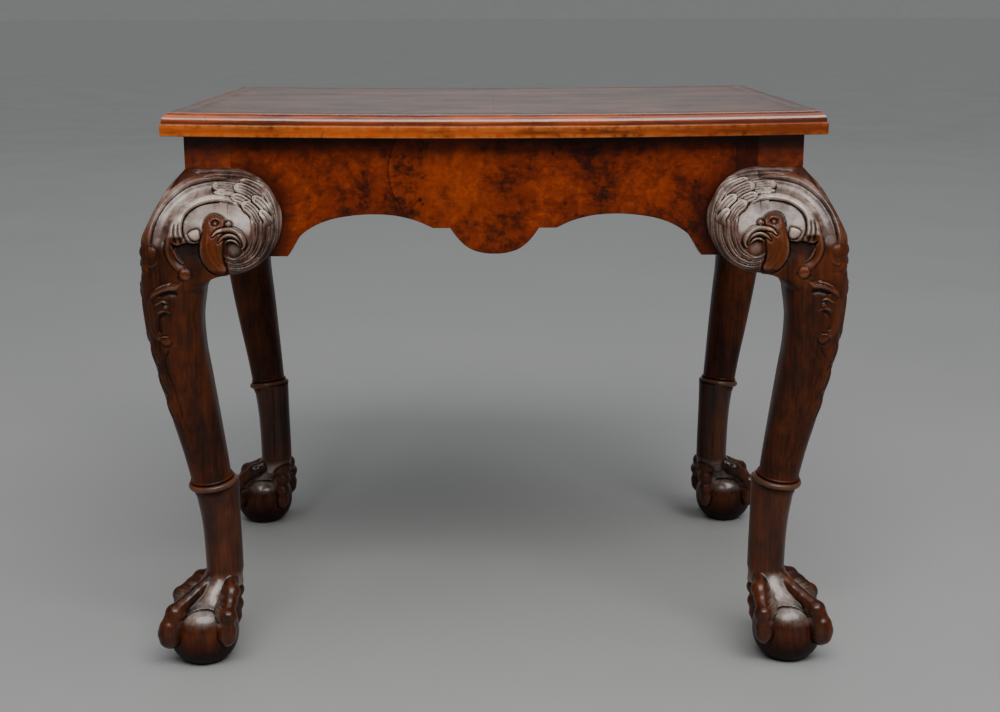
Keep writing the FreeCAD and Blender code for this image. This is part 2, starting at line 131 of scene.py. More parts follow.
def facing_out(vertices, quads, triangles):
    """Turns all the faces round where the skin encloses a negative volume."""
    corners = np.concatenate([quads[:, [0, 1, 2]], quads[:, [0, 2, 3]], triangles])
    a, b, c = (vertices[corners[:, i]] for i in range(3))
    volume = np.einsum("ij,ij->i", a, np.cross(b, c)).sum() / 6
    if volume < 0:
        return vertices, quads[:, ::-1], triangles[:, ::-1]
    return vertices, quads, triangles


tube = closed_skin(np.zeros((2, 5, 3)), [0, 0, 0], [0, 0, 0])
print("two rings of five points close with", len(tube[1]), "quads and", len(tube[2]), "triangles")

# %% [markdown]
# Few points should say a lot, so lines are drawn as smooth curves through given knots. The
# other small helpers shape a number: an ease between two limits, a bell round a line, and the
# quarter circle that a gouge leaves on a shoulder.

# %% Smooth curves
def smooth_through(x, knots):
    """Cubic through the (place, value) knots, with the slope at each knot of its neighbours' chord."""
    places, values = np.array(knots, float).T
    slopes = np.gradient(values, places)
    i = np.clip(np.searchsorted(places, x) - 1, 0, len(places) - 2)
    span = places[i + 1] - places[i]
    t = np.clip((x - places[i]) / span, 0, 1)
    rise = (3 - 2 * t) * t * t
    bend = t * (1 - t) * span * ((1 - t) * slopes[i] - t * slopes[i + 1])
    return values[i] + rise * (values[i + 1] - values[i]) + bend


def smooth_path(points, steps=6):
    """Finer points on a smooth curve through given points, by the same cubic in each direction."""
    points = np.array(points, float)
    places = np.arange(len(points))
    fine = np.linspace(0, len(points) - 1, (len(points) - 1) * steps + 1)
    return np.stack([smooth_through(fine, np.stack([places, column], 1)) for column in points.T], 1)


def smooth_outline(points):
    """The same curve closed back to its first point, which isn't given twice."""
    return smooth_path(list(points) + [points[0]], 4)[:-1]


def ease(x, low, high):
    """Smooth step from 0 at low to 1 at high."""
    t = np.clip((x - low) / (high - low), 0, 1)
    return t * t * (3 - 2 * t)


def rise_and_fall(x, low, risen, falling, gone):
    """Eased from 0 to 1 between the first two places, and back to 0 between the last two."""
    return ease(x, low, risen) * (1 - ease(x, falling, gone))


def bell(distance, width, power=2):
    """One at no distance, then falling: e to minus (distance over width) to a power."""
    return np.exp(-((distance / width) ** power))


def quarter_round(depth, shoulder):
    """A quarter circle from 0 at the edge to 1 at the shoulder: the root of 1 - (1 - t) squared."""
    t = np.clip(depth / shoulder, 0, 1)
    return np.sqrt(1 - (1 - t) ** 2)


def soft_join(a, b, blend):
    """Smaller of two distances, rounded where they are within the blend of each other."""
    gap = np.clip(blend - np.abs(a - b), 0, None)
    return np.minimum(a, b) - gap * gap / (4 * blend)


def steepness(line, z, reach=0.3):
    """Slope of a line at a height, from its values a short reach above and below."""
    return (line(z + reach) - line(z - reach)) / (2 * reach)


print("halfway up an ease:", ease(0.5, 0, 1), "half a shoulder in:", round(float(quarter_round(1, 2)), 3))

# %% [markdown]
# The four corners of the table are alike, so corner work is made once and mirrored. A mirror turns
# faces inside out, and the order of each face's corners is turned round again to mend that.

# %% Corners and pieces
corner_signs = {
    "back_right": (1, 1), "back_left": (-1, 1), "front_right": (1, -1), "front_left": (-1, -1),
}


def to_corner(vertices, quads, triangles, signs):
    """The same skin mirrored to a corner of the table; an odd mirror turns its faces round."""
    sign_x, sign_y = signs
    placed = vertices + [frieze_length, frieze_depth, 0]
    placed = placed * [sign_x, sign_y, 1]
    if sign_x * sign_y < 0:
        return placed, quads[:, ::-1], triangles[:, ::-1]
    return placed, quads, triangles


pieces = []


def add_piece(name, mesh, slot, *replaced):
    """Puts a mesh in the scene, riding on the table's one body, in place of the named solids."""
    piece = bpy.data.objects.new(name, mesh)
    bpy.context.scene.collection.objects.link(piece)
    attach(piece, "root")
    if replaced:
        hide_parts(*replaced)
    pieces.append(piece)
    print(name, len(mesh.vertices), "points")
    return piece


print("corners:", ", ".join(corner_signs))

# %% [markdown]
# ## The camera
# The photograph was taken from just above the height of the top, looking slightly down. The
# camera's place and lens come from matching the corners of the top, the rings on the legs and the
# balls of the feet, and they are written as plain values.

# %% Camera
picture_width, sensor_width = 1000, 36
lens_pixels = 1493.1
tilt, turn, roll = 0.23217, 0.00727, -0.00255
camera_place = [-0.00535, -1.57974, 0.63043]
camera_data = bpy.data.cameras.new("camera")
camera_data.sensor_fit = "HORIZONTAL"
camera_data.sensor_width = sensor_width
camera_data.lens = lens_pixels / picture_width * sensor_width
camera_data.clip_start = 0.05
camera = bpy.data.objects.new("camera", camera_data)


def facing(right, above, back, place):
    """A matrix whose columns are three directions and a place."""
    matrix = np.eye(4)
    matrix[:3, 0], matrix[:3, 1], matrix[:3, 2], matrix[:3, 3] = right, above, back, place
    return Matrix(matrix)


ahead = np.array([math.sin(turn) * math.cos(tilt), math.cos(turn) * math.cos(tilt), -math.sin(tilt)])
right = np.array([math.cos(turn), -math.sin(turn), 0.0])
upward = np.cross(right, ahead)
right_rolled = right * math.cos(roll) + upward * math.sin(roll)
camera.matrix_world = facing(right_rolled, np.cross(right_rolled, ahead), -ahead, camera_place)
bpy.context.scene.collection.objects.link(camera)
bpy.context.scene.camera = camera
print("lens", round(camera_data.lens, 2), "mm")

# %% [markdown]
# ## The leg's shape
# A cabriole leg is sawn from a square post to the same curve on two faces, then its corners are
# rounded with a spokeshave. The same idea gives its surface here: at each height there is a square
# between an outer and an inner line, whose corners are rounded more in the shank than at the knee.
# All four legs are one shape in a corner frame: two directions, along and across, both zero at
# the outer faces of the frieze, and height.

# %% Lines of the leg
knee_reach = 40.8
knee_shares = [
    (0.0, 1.0), (0.16, 0.985), (0.33, 0.94), (0.49, 0.80), (0.69, 0.55), (0.90, 0.20), (1.0, 0.0),
]
knee_line = [(knee_bottom + rise * (knee_top - knee_bottom), out * knee_reach) for rise, out in knee_shares]
outer_line = [
    (160, 7.2), (177.2, 9.6), (206, 14.4), (247, 23.0), (288.6, 31.3), (322, 36.8),
    (350, 39.6), (370, 40.7), (381, 40.9),
] + knee_line
inner_line = [
    (160, -30.7), (177.2, -28.7), (206, -26.0), (247, -21.9), (288.6, -17.5), (322, -13.9),
    (350, -13.6), (372, -16.6),
]
sweep_height = 18


def outer_face(z):
    """How far the two outer faces stand out at each height."""
    return np.where(z >= knee_top, -veneer, smooth_through(z, outer_line))


def inner_face(z):
    """Inner line: the shank's, then a quarter of an ellipse that sweeps out under the ear."""
    shank = smooth_through(z, inner_line)
    t = np.clip((z - (knee_bottom - sweep_height)) / sweep_height, 0, 1)
    return shank - (post_width + inner_line[-1][1]) * (1 - np.sqrt(1 - t * t))


def squareness(z, knots):
    """Exponent of the section's corners: 2 is a circle, large is a square."""
    heights, exponents = np.array(knots, float).T
    return np.exp(np.interp(z, heights, np.log(exponents)))


outer_corner = [
    (177, 2.05), (206, 2.3), (247, 2.5), (289, 2.7), (350, 3.0), (376, 3.4), (396, 4.6),
    (410, 5.5), (470, 6.5), (knee_top - 1, 24), (knee_top, 400),
]
other_corners = [
    (177, 2.05), (206, 2.3), (247, 2.5), (350, 2.9), (374, 3.2), (382, 8), (knee_bottom, 400),
]
print("half way up the leg its outer faces stand out", round(float(outer_face(table_top / 2)), 1), "mm")

# %% [markdown]
# ## Carving as a height map
# The carver worked the same pattern on both faces of each knee, so the relief is one map: height
# of the carving against the distance along the face and the height up the leg. Each point also
# gets a warmth, a painted sheen that also sets the gloss, and a painted shade, which the finish
# reads later. Every tool works from the distance to a curve, so the map can measure how far its
# points are from a path or inside an outline. Curves are placed one by one.

# %% The carved face
class CarvedFace:
    """Height, warmth, gloss with painted sheen, and painted shade on scattered points: place along the face,
    height up the leg.
    """

    def __init__(self, along, up):
        self.along, self.up = along, up
        self.height, self.warmth, self.polish, self.shade = (np.zeros_like(along) for _ in range(4))

    def near(self, path, margin):
        """Points within a margin of the path's box."""
        low, high = path.min(0) - margin, path.max(0) + margin
        inside = (self.along > low[0]) & (self.along < high[0]) & (self.up > low[1]) & (self.up < high[1])
        return np.nonzero(inside)

    def beside(self, where, path):
        """Distance from the path, signed by side, and the fraction along it, of the nearest point."""
        x, y = self.along[where], self.up[where]
        best, side, part = np.full(x.shape, 1e9), np.ones(x.shape), np.zeros(x.shape)
        steps = np.diff(path, axis=0)
        lengths = np.hypot(*steps.T)
        travelled = np.concatenate([[0], np.cumsum(lengths)])
        for start, step, length, before in zip(path[:-1], steps, lengths, travelled):
            dx, dy = x - start[0], y - start[1]
            t = np.clip((dx * step[0] + dy * step[1]) / (length * length), 0, 1)
            away = np.hypot(dx - t * step[0], dy - t * step[1])
            closer = away < best
            best = np.where(closer, away, best)
            side = np.where(closer, np.sign(step[0] * dy - step[1] * dx), side)
            part = np.where(closer, (before + t * length) / travelled[-1], part)
        return best, side, part

    def inside(self, where, outline):
        """Depth inside a closed outline, negative outside: nearest edge, signed by crossings."""
        closed = np.concatenate([outline, outline[:1]])
        away, _, _ = self.beside(where, closed)
        x, y = self.along[where], self.up[where]
        crossings = np.zeros(x.shape, int)
        for (x0, y0), (x1, y1) in zip(closed[:-1], closed[1:]):
            spans = (y0 > y) != (y1 > y)
            with np.errstate(divide="ignore", invalid="ignore"):
                cross = x < x0 + (y - y0) * (x1 - x0) / (y1 - y0)
            crossings += spans & cross
        return np.where(crossings % 2 == 1, away, -away)


unit_square = np.array([(0, 0), (1, 0), (1, 1), (0, 1)])
spot = CarvedFace(np.array([0.5]), np.array([0.3]))
depth = spot.inside(np.array([0]), unit_square)[0]
print("a spot 0.3 above a square's lower edge is", depth, "deep in it")

# %% [markdown]
# The carver's first tools are the bead and the groove. A bead is a half round drawn along a curve,
# or a gentler swelling where it should be soft. A V tool cuts the groove. Both narrow towards their
# ends, as a tool does when it enters and leaves the wood.

# %% Beads and grooves
thin_end, round_power, soft_power, bead_cut_width = 0.3, 0.6, 1.5, 0.8


def tapered(part, *limits):
    """Share of the full size along a line: thin at its two ends, eased to 1 between them."""
    return thin_end + (1 - thin_end) * rise_and_fall(part, *limits)


def raise_bead(face, points, width, height, ends=(0.1, 0.1), soft=False, warm=0.0, cut=0.0, polish=0.0):
    """Raised line: height times a power of one less the square of distance over half the width. It
    may be cut in beside its foot, and its crest warmed, and polished with a painted sheen."""
    path = smooth_path(points)
    where = face.near(path, width + 2)
    away, _, part = face.beside(where, path)
    narrow = tapered(part, -0.02, ends[0] + 1e-3, 1 - ends[1] - 1e-3, 1.02)
    half = width / 2 * narrow
    level = np.clip(1 - (away / half) ** 2, 0, None)
    raised = height * narrow * level ** (soft_power if soft else round_power)
    old = face.height[where] - cut * bell(away - half, bead_cut_width) * (away > half * 0.9)
    face.height[where] = old + raised if soft else np.maximum(old, raised)
    face.warmth[where] = np.maximum(face.warmth[where], warm * ease(level, 0.0, 0.5))
    face.polish[where] = np.maximum(face.polish[where], polish * ease(level, 0.5, 1.0))


def cut_groove(face, points, width, depth):
    """V cut with soft shoulders: depth times a bell of the distance over half the width."""
    path = smooth_path(points)
    where = face.near(path, width * 2)
    away, _, part = face.beside(where, path)
    face.height[where] -= depth * tapered(part, -0.02, 0.08, 0.92, 1.02) * bell(away, width / 2)


def tried_on_a_strip(tool, *work):
    """Highest and lowest point that a tool leaves along the middle of a flat strip, 60 mm long."""
    strip = CarvedFace(*np.meshgrid(np.linspace(-30, 30, 121), np.linspace(-10, 10, 41)))
    tool(strip, *work)
    return round(float(strip.height.max()), 2), round(float(strip.height.min()), 2)


straight = [(-20, 0), (0, 0), (20, 0)]
print("a bead leaves", tried_on_a_strip(raise_bead, straight, 5, 2))
print("a groove leaves", tried_on_a_strip(cut_groove, straight, 2, 1))

# %% [markdown]
# Broader forms are set in as outlines: raised with a rounded shoulder, sunk with a sharp wall, or
# round like a button. A shape that crosses another takes a part of what is under it, so that
# nothing is left flat.

# %% Raised, sunk and round shapes
shape_cut_width, kept_under_shape, kept_under_boss, sunk_shade = 0.9, 0.3, 0.6, 0.45


def raise_shape(face, points, height, shoulder, warm=0.0, polish=0.0, cut=0.0, foot=None):
    """Raised outline: a quarter round at its shoulder, then level; it may fade towards its foot."""
    closed = smooth_outline(points)
    where = face.near(closed, 3)
    deep = face.inside(where, closed)
    shown = ease(face.up[where], *foot) if foot else 1.0
    old = face.height[where]
    old = old - cut * shown * bell(deep + 0.6, shape_cut_width) * (deep < 0.3)
    kept = np.maximum(old, 0) * kept_under_shape * shown + old * (1 - shown)
    raised = kept + height * shown * quarter_round(deep, shoulder)
    face.height[where] = np.where(deep > 0, raised, old)
    face.warmth[where] = np.maximum(face.warmth[where], warm * ease(deep, -0.3, 1.2) * shown)
    face.polish[where] = np.where(deep > 0, polish, face.polish[where])


def sink_shape(face, points, depth, wall, floor_rises):
    """Sunk outline with a sharp upper wall, whose floor rises again over the given drop in height."""
    closed = smooth_outline(points)
    where = face.near(closed, 1)
    deep = face.inside(where, closed)
    below = closed[:, 1].max() - face.up[where]
    sunken = ease(deep, 0, wall) * (1 - ease(below, 3, floor_rises))
    face.height[where] -= depth * sunken
    # The floor of the sunk outline is darkened with painted shade.
    face.shade[where] = np.maximum(face.shade[where], sunk_shade * sunken)
    face.polish[where] = np.where(deep > 0, 0, face.polish[where])


def raise_boss(face, centre, radius, height, warm=0.0, cut=0.0, power=0.6):
    """Round boss: one less the square of distance over radius, to a power, with a cut round it."""
    x, y = centre
    away = np.hypot(face.along - x, face.up - y)
    face.height -= cut * bell(away - radius - 0.4, shape_cut_width)
    level = np.clip(1 - (away / radius) ** 2, 0, None)
    raised = face.height * kept_under_boss + height * level ** power
    face.height = np.where(away < radius, raised, face.height)
    face.warmth = np.maximum(face.warmth, warm * ease(level, 0.0, 0.4))


print("a boss leaves", tried_on_a_strip(raise_boss, (0, 0), 5, 2))

# %% [markdown]
# A feather is the most worked form. Its tip is round with a raised rim, strokes run along it, and
# it is highest at its tip and sinks towards its root, where the next feather covers it.

# %% Feathers
feather_tip, feather_rim, rim_width = 0.26, 0.8, 0.16
rim_height, stroke_depth = 0.6, 0.95


def lay_feather(face, points, width, height, lines):
    """Half width is a quarter round at the tip, the rim a bell across it, the strokes a cosine."""
    path = smooth_path(points)
    where = face.near(path, width)
    away, side, part = face.beside(where, path)
    half = width / 2 * np.maximum(quarter_round(part, feather_tip), 0.05)
    across = np.clip(away / half, 0, 1.5)
    fading = 1 - 0.8 * ease(part, 0.45, 1.0)
    rim = bell(across - feather_rim, rim_width)
    body = height * fading * (1 - across ** 6) + rim_height * fading * rim
    stroke = (0.5 + 0.5 * np.cos(np.pi * lines * (side * across + 1))) ** 4
    body = body - stroke_depth * stroke * ease(part, 0.09, 0.2) * (across < 0.78)
    old = face.height[where]
    old = old - 0.7 * bell(away - half - 0.4, 0.7) * (away > half) * fading
    covers = (across < 1) & (part < 0.97)
    face.height[where] = np.where(covers, np.maximum(body, old * 0.4), old)
    # Painted sheen, brightest on the rim.
    face.polish[where] = np.where(covers, (0.8 + 0.8 * rim) * fading, face.polish[where])


print("a feather leaves", tried_on_a_strip(lay_feather, straight, 9, 2, 4))

# %% [markdown]
# The volute is easiest to think of in polar form. Round its centre run three lines: the cut inside
# the rim, and the outer and inner edge of the broad bead. Each is a radius that changes with the
# angle. Between the first two the ground is scooped out, which is what makes the knee look rolled.

# %% The volute on the knee
pattern_shift = (-0.8, -0.9)
volute_centre = (-34.0, knee_top - 58.4)
rim_radius = [
    (-14, 63.5), (-5, 62), (11, 60.1), (26, 58.2), (41, 55.7), (57, 53.6), (67, 51.8), (80, 50.4), (90, 50),
]
bead_outside = [
    (-6, 46.5), (4, 46.3), (18, 45.2), (34, 43.8), (45, 41.9), (56, 40.4), (67, 39), (81, 38), (96, 37.2),
    (112, 36),
]
bead_inside = [
    (-6, 32), (4, 33), (15, 35), (32, 36.6), (42, 36), (52, 34.9), (62, 33.6), (76, 32.1), (89, 31.6),
    (106, 31.4), (120, 31.6), (144, 32.2), (155, 31.3), (168, 30.2), (182, 30), (200, 31.2), (215, 32),
]
hollow_depth, rim_cut, rim_lip = 2.8, 1.9, 1.3
bead_height, bead_cut, disc_height = 2.2, 1.7, 1.1
bead_end_cuts = [
    [(6.5, 437), (7.2, 430), (5.6, 420)], [(3.0, 437), (3.0, 429), (0.2, 419)],
    [(-0.6, 436), (-1.4, 429), (-5.0, 421)],
]
measured_knee_top = 483.0


def lifted(points):
    """Given points, moved with the knee's top from the height at which they were measured."""
    return [(x, y + knee_top - measured_knee_top) for x, y in points]


def carve_volute(knee):
    """Hollow band, broad bead, rim and inner cut, from radius less the line's radius at that angle."""
    x, y = knee.along - volute_centre[0], knee.up - volute_centre[1]
    radius = np.hypot(x, y)
    angle = np.degrees(np.arctan2(y, x))
    angle = np.where(angle < -90, angle + 360, angle)
    rim, outside, inside = (smooth_through(angle, line) for line in (rim_radius, bead_outside, bead_inside))
    shown = rise_and_fall(angle, -12, 2, 86, 98)
    share = np.clip((radius - outside) / (rim - outside), 0, 1)
    knee.height -= hollow_depth * np.sin(np.pi * share) ** 0.8 * shown
    knee.height -= rim_cut * bell(radius - rim, 0.8) * shown
    knee.height += rim_lip * bell(radius - rim - 3.2, 2.3, 4) * shown
    # Painted sheen on the hollow band and the bead, brightest where the band faces the light.
    lit = 0.36 + 0.56 * bell(angle - 40, 24)
    beyond_rim = ease(radius - rim, 0.5, 2.5)
    knee.polish = (radius > outside) * (radius < rim + 6.5) * shown * lit * (1 - 0.5 * beyond_rim)
    knee.warmth = beyond_rim * (radius < rim + 7) * shown
    bead_shown = rise_and_fall(angle, -1, 3, 112, 124)
    t = (radius - inside) / (outside - inside)
    on_bead = (t > 0) & (t < 1)
    bead = bead_height * np.sqrt(np.clip(1 - np.clip(t, 0, 1) ** 4, 0, 1)) * (t > 0)
    knee.height = np.where(on_bead, knee.height * (1 - bead_shown) + bead * bead_shown, knee.height)
    knee.polish = np.where(on_bead, 1.15 * bead_shown, knee.polish)
    knee.height -= bead_cut * bell(radius - inside + 0.3, 0.85) * rise_and_fall(angle, 2, 10, 196, 214)
    disc = (1 - ease(radius, inside - 18, inside)) * (angle > -30) * (angle < 215)
    knee.height += disc_height * disc
    # Painted sheen on the disc, with painted shade on its upper part.
    dimmer_above = 0.9 - 0.45 * ease(y, 8, 30)
    knee.polish = np.where((radius < inside) * (angle > -3) * (angle < 190), dimmer_above, knee.polish)
    for points in bead_end_cuts:
        cut_groove(knee, lifted(points), 1.8, 1.6)


print("the volute's radius goes from", rim_radius[0][1], "mm outside to", rim_radius[-1][1], "mm above")

# %% [markdown]
# The feathers start as broad tips over the top of the volute, laid like roof tiles, and run on as
# fine strands round the ear to below the beak. The strands all lie between an outer and an inner
# curve, so each is a share of the way between them, with a little sway.

# %% Feathers round the volute
strand_outer = [
    (-61.5, 477.5), (-72.4, 473.4), (-81.3, 465.6), (-86.8, 456.2), (-89, 444), (-89, 432),
    (-87.2, 420.4), (-83, 409.6), (-76.6, 400.8), (-68.8, 394.8), (-59.6, 391.6), (-50.2, 390),
    (-43.5, 390.2),
]
strand_inner = [
    (-55, 455), (-57, 452.1), (-59, 449.1), (-61, 444.9), (-62.4, 439.8), (-63.1, 433), (-63, 425.3),
    (-61.1, 418.2), (-58.3, 412.9), (-52.8, 408.6), (-46.9, 406.8), (-41.5, 408), (-38, 411.2),
]
strand_shares = np.linspace(0.0, 0.97, 13)
gap_shares = (0.24, 0.49, 0.74)
band_cuts = [
    [(-10, 480), (-28, 481), (-46, 480.5), (-64, 476.8)],
    [(-18, 476.2), (-34, 477.2), (-50, 476.8), (-62, 473.6)],
]
feather_tips = [  # middle line from the tip, width, height, strokes
    ([(-51, 473), (-59, 471), (-67, 468), (-73.5, 464)], 6.8, 1.4, 3),
    ([(-26, 468.5), (-34.5, 468.7), (-44, 468.3), (-52, 467)], 8.0, 1.7, 4),
    ([(-27.5, 463.2), (-35, 463.2), (-44, 462.2), (-51.5, 460.5)], 3.8, 1.3, 1),
    ([(-45.5, 468), (-54, 466.3), (-62.5, 462.6), (-71, 457.4)], 9.4, 2.0, 4),
    ([(-43.5, 459.8), (-51, 458.2), (-57.5, 455), (-64.5, 450)], 8.2, 2.1, 3),
    ([(-63, 459), (-69.5, 455.6), (-75.5, 450), (-79.5, 442)], 8.6, 2.1, 3),
    ([(-54, 453.6), (-60.5, 450.6), (-66.5, 445), (-70.5, 437.5)], 9.6, 2.3, 4),
    ([(-70.5, 448), (-76, 442.6), (-79.5, 434)], 7.0, 1.9, 2),
]


def carve_feathers(knee):
    """Strands are curves between an outer and an inner one; the tips are laid over them in turn."""
    outer, inner = np.array(lifted(strand_outer)), np.array(lifted(strand_inner))
    places = np.arange(len(outer))[:, None]
    where = knee.near(outer, 2)
    fan = knee.inside(where, np.concatenate([outer, inner[::-1]]))
    # A pale painted sheen on the strands.
    knee.polish[where] = np.where(fan > 0, 0.34, knee.polish[where])
    for i, share in enumerate(strand_shares):
        sway = 0.022 * np.sin(0.9 * places + 2.1 * i)
        strand = outer + (share + sway) * (inner - outer)
        width, height = 2.1 + 0.7 * math.sin(1.7 * i), 1.1 + 0.3 * math.cos(2.3 * i)
        raise_bead(knee, strand, width, height, (0.12, 0.15), cut=0.7, polish=0.9)
    # Painted sheen over the knee's top, which faces up to the light.
    over_top = (knee.along < -4) & (knee.up > knee_top - 16) & (knee.polish == 0)
    knee.polish = np.where(over_top, 0.22 * ease(-knee.along, 4, 14), knee.polish)
    for points in band_cuts:
        cut_groove(knee, lifted(points), 1.5, 1.0)
    for share in gap_shares:
        cut_groove(knee, outer + (share + 0.02 * np.sin(places)) * (inner - outer), 1.5, 0.9)
    for points, width, height, lines in feather_tips:
        lay_feather(knee, lifted(points), width, height, lines)


print(len(strand_shares), "strands and", len(feather_tips), "feather tips on each face")

# %% [markdown]
# The eagle's head faces inwards with its beak hooked over a round hollow. The ground steps down
# behind it first, then the head is raised as one rounded shape, and the beak, brow, lids, eye and
# the cere at the root of the beak are set on it.

# %% The eagle's head
step = [
    (10.5, 421.5), (4, 419.2), (-4.5, 421.6), (-10, 420.6), (-17.5, 421), (-18, 413), (-18.5, 404),
    (-20.5, 395), (-12, 388), (-4, 397), (1, 403), (5, 409), (8, 415.5),
]
crest = [
    (-5.6, 428.5), (-8.2, 430.6), (-11.8, 431.9), (-15.4, 431.9), (-16.9, 427.2), (-16.5, 423.7),
    (-12.9, 422.4), (-8.4, 424.2),
]
head = [
    (-37.2, 390.3), (-27.4, 393.5), (-21.3, 399.5), (-17.5, 406.7), (-16.4, 414.9), (-17.4, 422),
    (-19.6, 428.9), (-20.2, 435.7), (-21.8, 441.2), (-24.8, 444.3), (-29.3, 445.4), (-34.3, 444.1),
    (-38.1, 441.2), (-40.0, 437.3), (-40.2, 432.0), (-39.4, 426.5), (-38.6, 421.0),
    (-37.6, 414.5), (-37.4, 408.5), (-38.2, 402.5), (-40.6, 396.5),
]
neck_cuts = [  # line and depth
    ([(-21.6, 424), (-21.2, 414), (-25, 404), (-32, 397)], 0.5),
    ([(-26, 428), (-25.8, 416), (-29.4, 406), (-35.5, 398)], 0.6),
    ([(-33, 427), (-31, 419), (-32.6, 410), (-37, 402)], 0.5),
]
upper_beak = [
    (-28.7, 425.8), (-32.6, 429.2), (-38, 431.1), (-44.3, 431.5), (-49.8, 429.6), (-54.4, 425.7),
    (-56.9, 421.4), (-57.1, 417.8), (-55.2, 415.2),
]
tongue = [(-34.1, 421), (-37.3, 424.5), (-41.7, 426.6), (-46.2, 426.6), (-50.8, 424.4), (-54, 420.9)]
lower_beak = [(-39.1, 419.7), (-42.2, 422), (-46.3, 422.5), (-49.9, 421), (-52.6, 417.9)]
beak = [  # line, width, height, share of each end that narrows
    (upper_beak, 5.8, 6.0, (0.45, 0.25)),
    (tongue, 3.4, 4.8, (0.35, 0.3)),
    (lower_beak, 2.4, 3.8, (0.3, 0.3)),
]
eye_hollow = [(-26.1, 435.8), (-28.8, 436.9), (-32.4, 437), (-37, 435.6)]
brow = [(-25.6, 436.3), (-27.8, 439.1), (-30.9, 440.2), (-34.1, 439.4), (-36.9, 436.5)]
lower_lid = [(-26.6, 435.2), (-28.9, 433.4), (-32.5, 433.3), (-36.1, 435)]
bowl, eye, cere = lifted([(-47.5, 414.3), (-30.9, 436.5), (-42.4, 436.2)])


def carve_head(knee):
    """Step below the disc, crest, head with its neck, beak of three ridges over a hollow, eye and cere."""
    sink_shape(knee, lifted(step), 3.2, 1.6, 31)
    # The crest and the beak get painted highlights.
    raise_shape(knee, lifted(crest), 2.8, 1.5, polish=1.9, cut=0.8)
    raise_shape(knee, lifted(head), 4.6, 8.5, warm=0.85, cut=1.0, foot=(knee_top - 94, knee_top - 86))
    for points, depth in neck_cuts:
        cut_groove(knee, lifted(points), 2.4, depth)
    raise_boss(knee, bowl, 7.6, -3.4, cut=-0.4, power=0.7)
    # Painted reflection on the floor of the bowl.
    near_bowl = np.hypot(knee.along - bowl[0], knee.up - bowl[1])
    knee.polish = np.maximum(knee.polish, 0.9 * (1 - ease(near_bowl, 1.5, 7.0)))
    for points, width, height, ends in beak:
        raise_bead(knee, lifted(points), width, height, ends, warm=0.8, cut=1.7, polish=1.5)
    cut_groove(knee, lifted(eye_hollow), 5.8, 1.6)
    raise_boss(knee, eye, 2.9, 2.9, warm=0.7, power=0.5)
    raise_bead(knee, lifted(brow), 2.2, 6.2, (0.3, 0.3), warm=1.0, polish=0.6)
    raise_bead(knee, lifted(lower_lid), 1.5, 5.2, (0.3, 0.3), warm=1.0, polish=0.7)
    raise_boss(knee, cere, 2.9, 3.4, warm=0.9, cut=1.0, power=0.5)


print("the head is outlined by", len(head), "points, its beak by", sum(len(row[0]) for row in beak))

# %% [markdown]
# Below the volute the carving turns into low straps that end in round buttons, and down the outer
# edge of the thigh runs a C-shaped scroll with leaf tips under it. These are broad, rubbed soft and
# hardly rise above the leg. The pattern meets itself on the corner, so the scroll seems to wrap it.

# %% Straps, scrolls and leaves
strap = [(9.6, 427), (12.0, 420), (12.3, 413), (10.2, 405.5), (5.8, 399), (-1.5, 394)]
strap_cuts = [  # line, width, depth
    ([(7.2, 420), (7.4, 412), (4.6, 404.6), (-2.5, 399)], 1.8, 1.0),
    ([(15, 424), (15.8, 414), (12.5, 404), (6, 395.5)], 2.6, 0.8),
]
strap_button, upper_button, lower_button = lifted([(-2.4, 391.6), (28.5, 411.4), (35.8, 395.4)])
button_link = [(34, 401), (29, 399), (24, 401.5), (21, 406.5)]
scroll = [(32, 366), (28, 372.6), (22, 376.8), (14.5, 379.3), (7, 380), (1, 383.5)]
scroll_edge = [(29, 375.4), (23.4, 379.4), (17.8, 382), (11.3, 383.4), (5.9, 382.8)]
scroll_cut = [(27, 361), (24.4, 367.6), (19, 372.4), (12.4, 374.6), (5, 373.6)]
scroll_curl = [(29, 362), (24.5, 364.6), (20.6, 367), (16.6, 366.4), (14, 363.6)]
scroll_leaf = [(26, 355), (20.3, 358.2), (14.9, 357.6), (11.5, 354.4)]
lower_scroll = [(31.5, 368), (30.6, 358), (30, 348), (29.4, 340), (26.4, 333), (21, 329.5)]
lower_cut = [(17, 355.6), (23, 352), (24.9, 344), (23.4, 337.4), (19.5, 334.4)]
lower_lip = [(23, 332.5), (19.5, 334), (15.4, 333)]
leaves = [
    [(31, 326), (28.6, 316), (25.6, 305)], [(27.6, 300), (24, 289), (20, 277)],
    [(21, 271), (18.6, 260), (15.5, 248)],
]
stem = [(16, 322), (21.4, 311), (21.2, 299), (17.2, 286.5), (14.6, 274), (12.6, 261), (10.5, 248)]
berries = [(29.5, 303), (24, 275), (20, 247)]


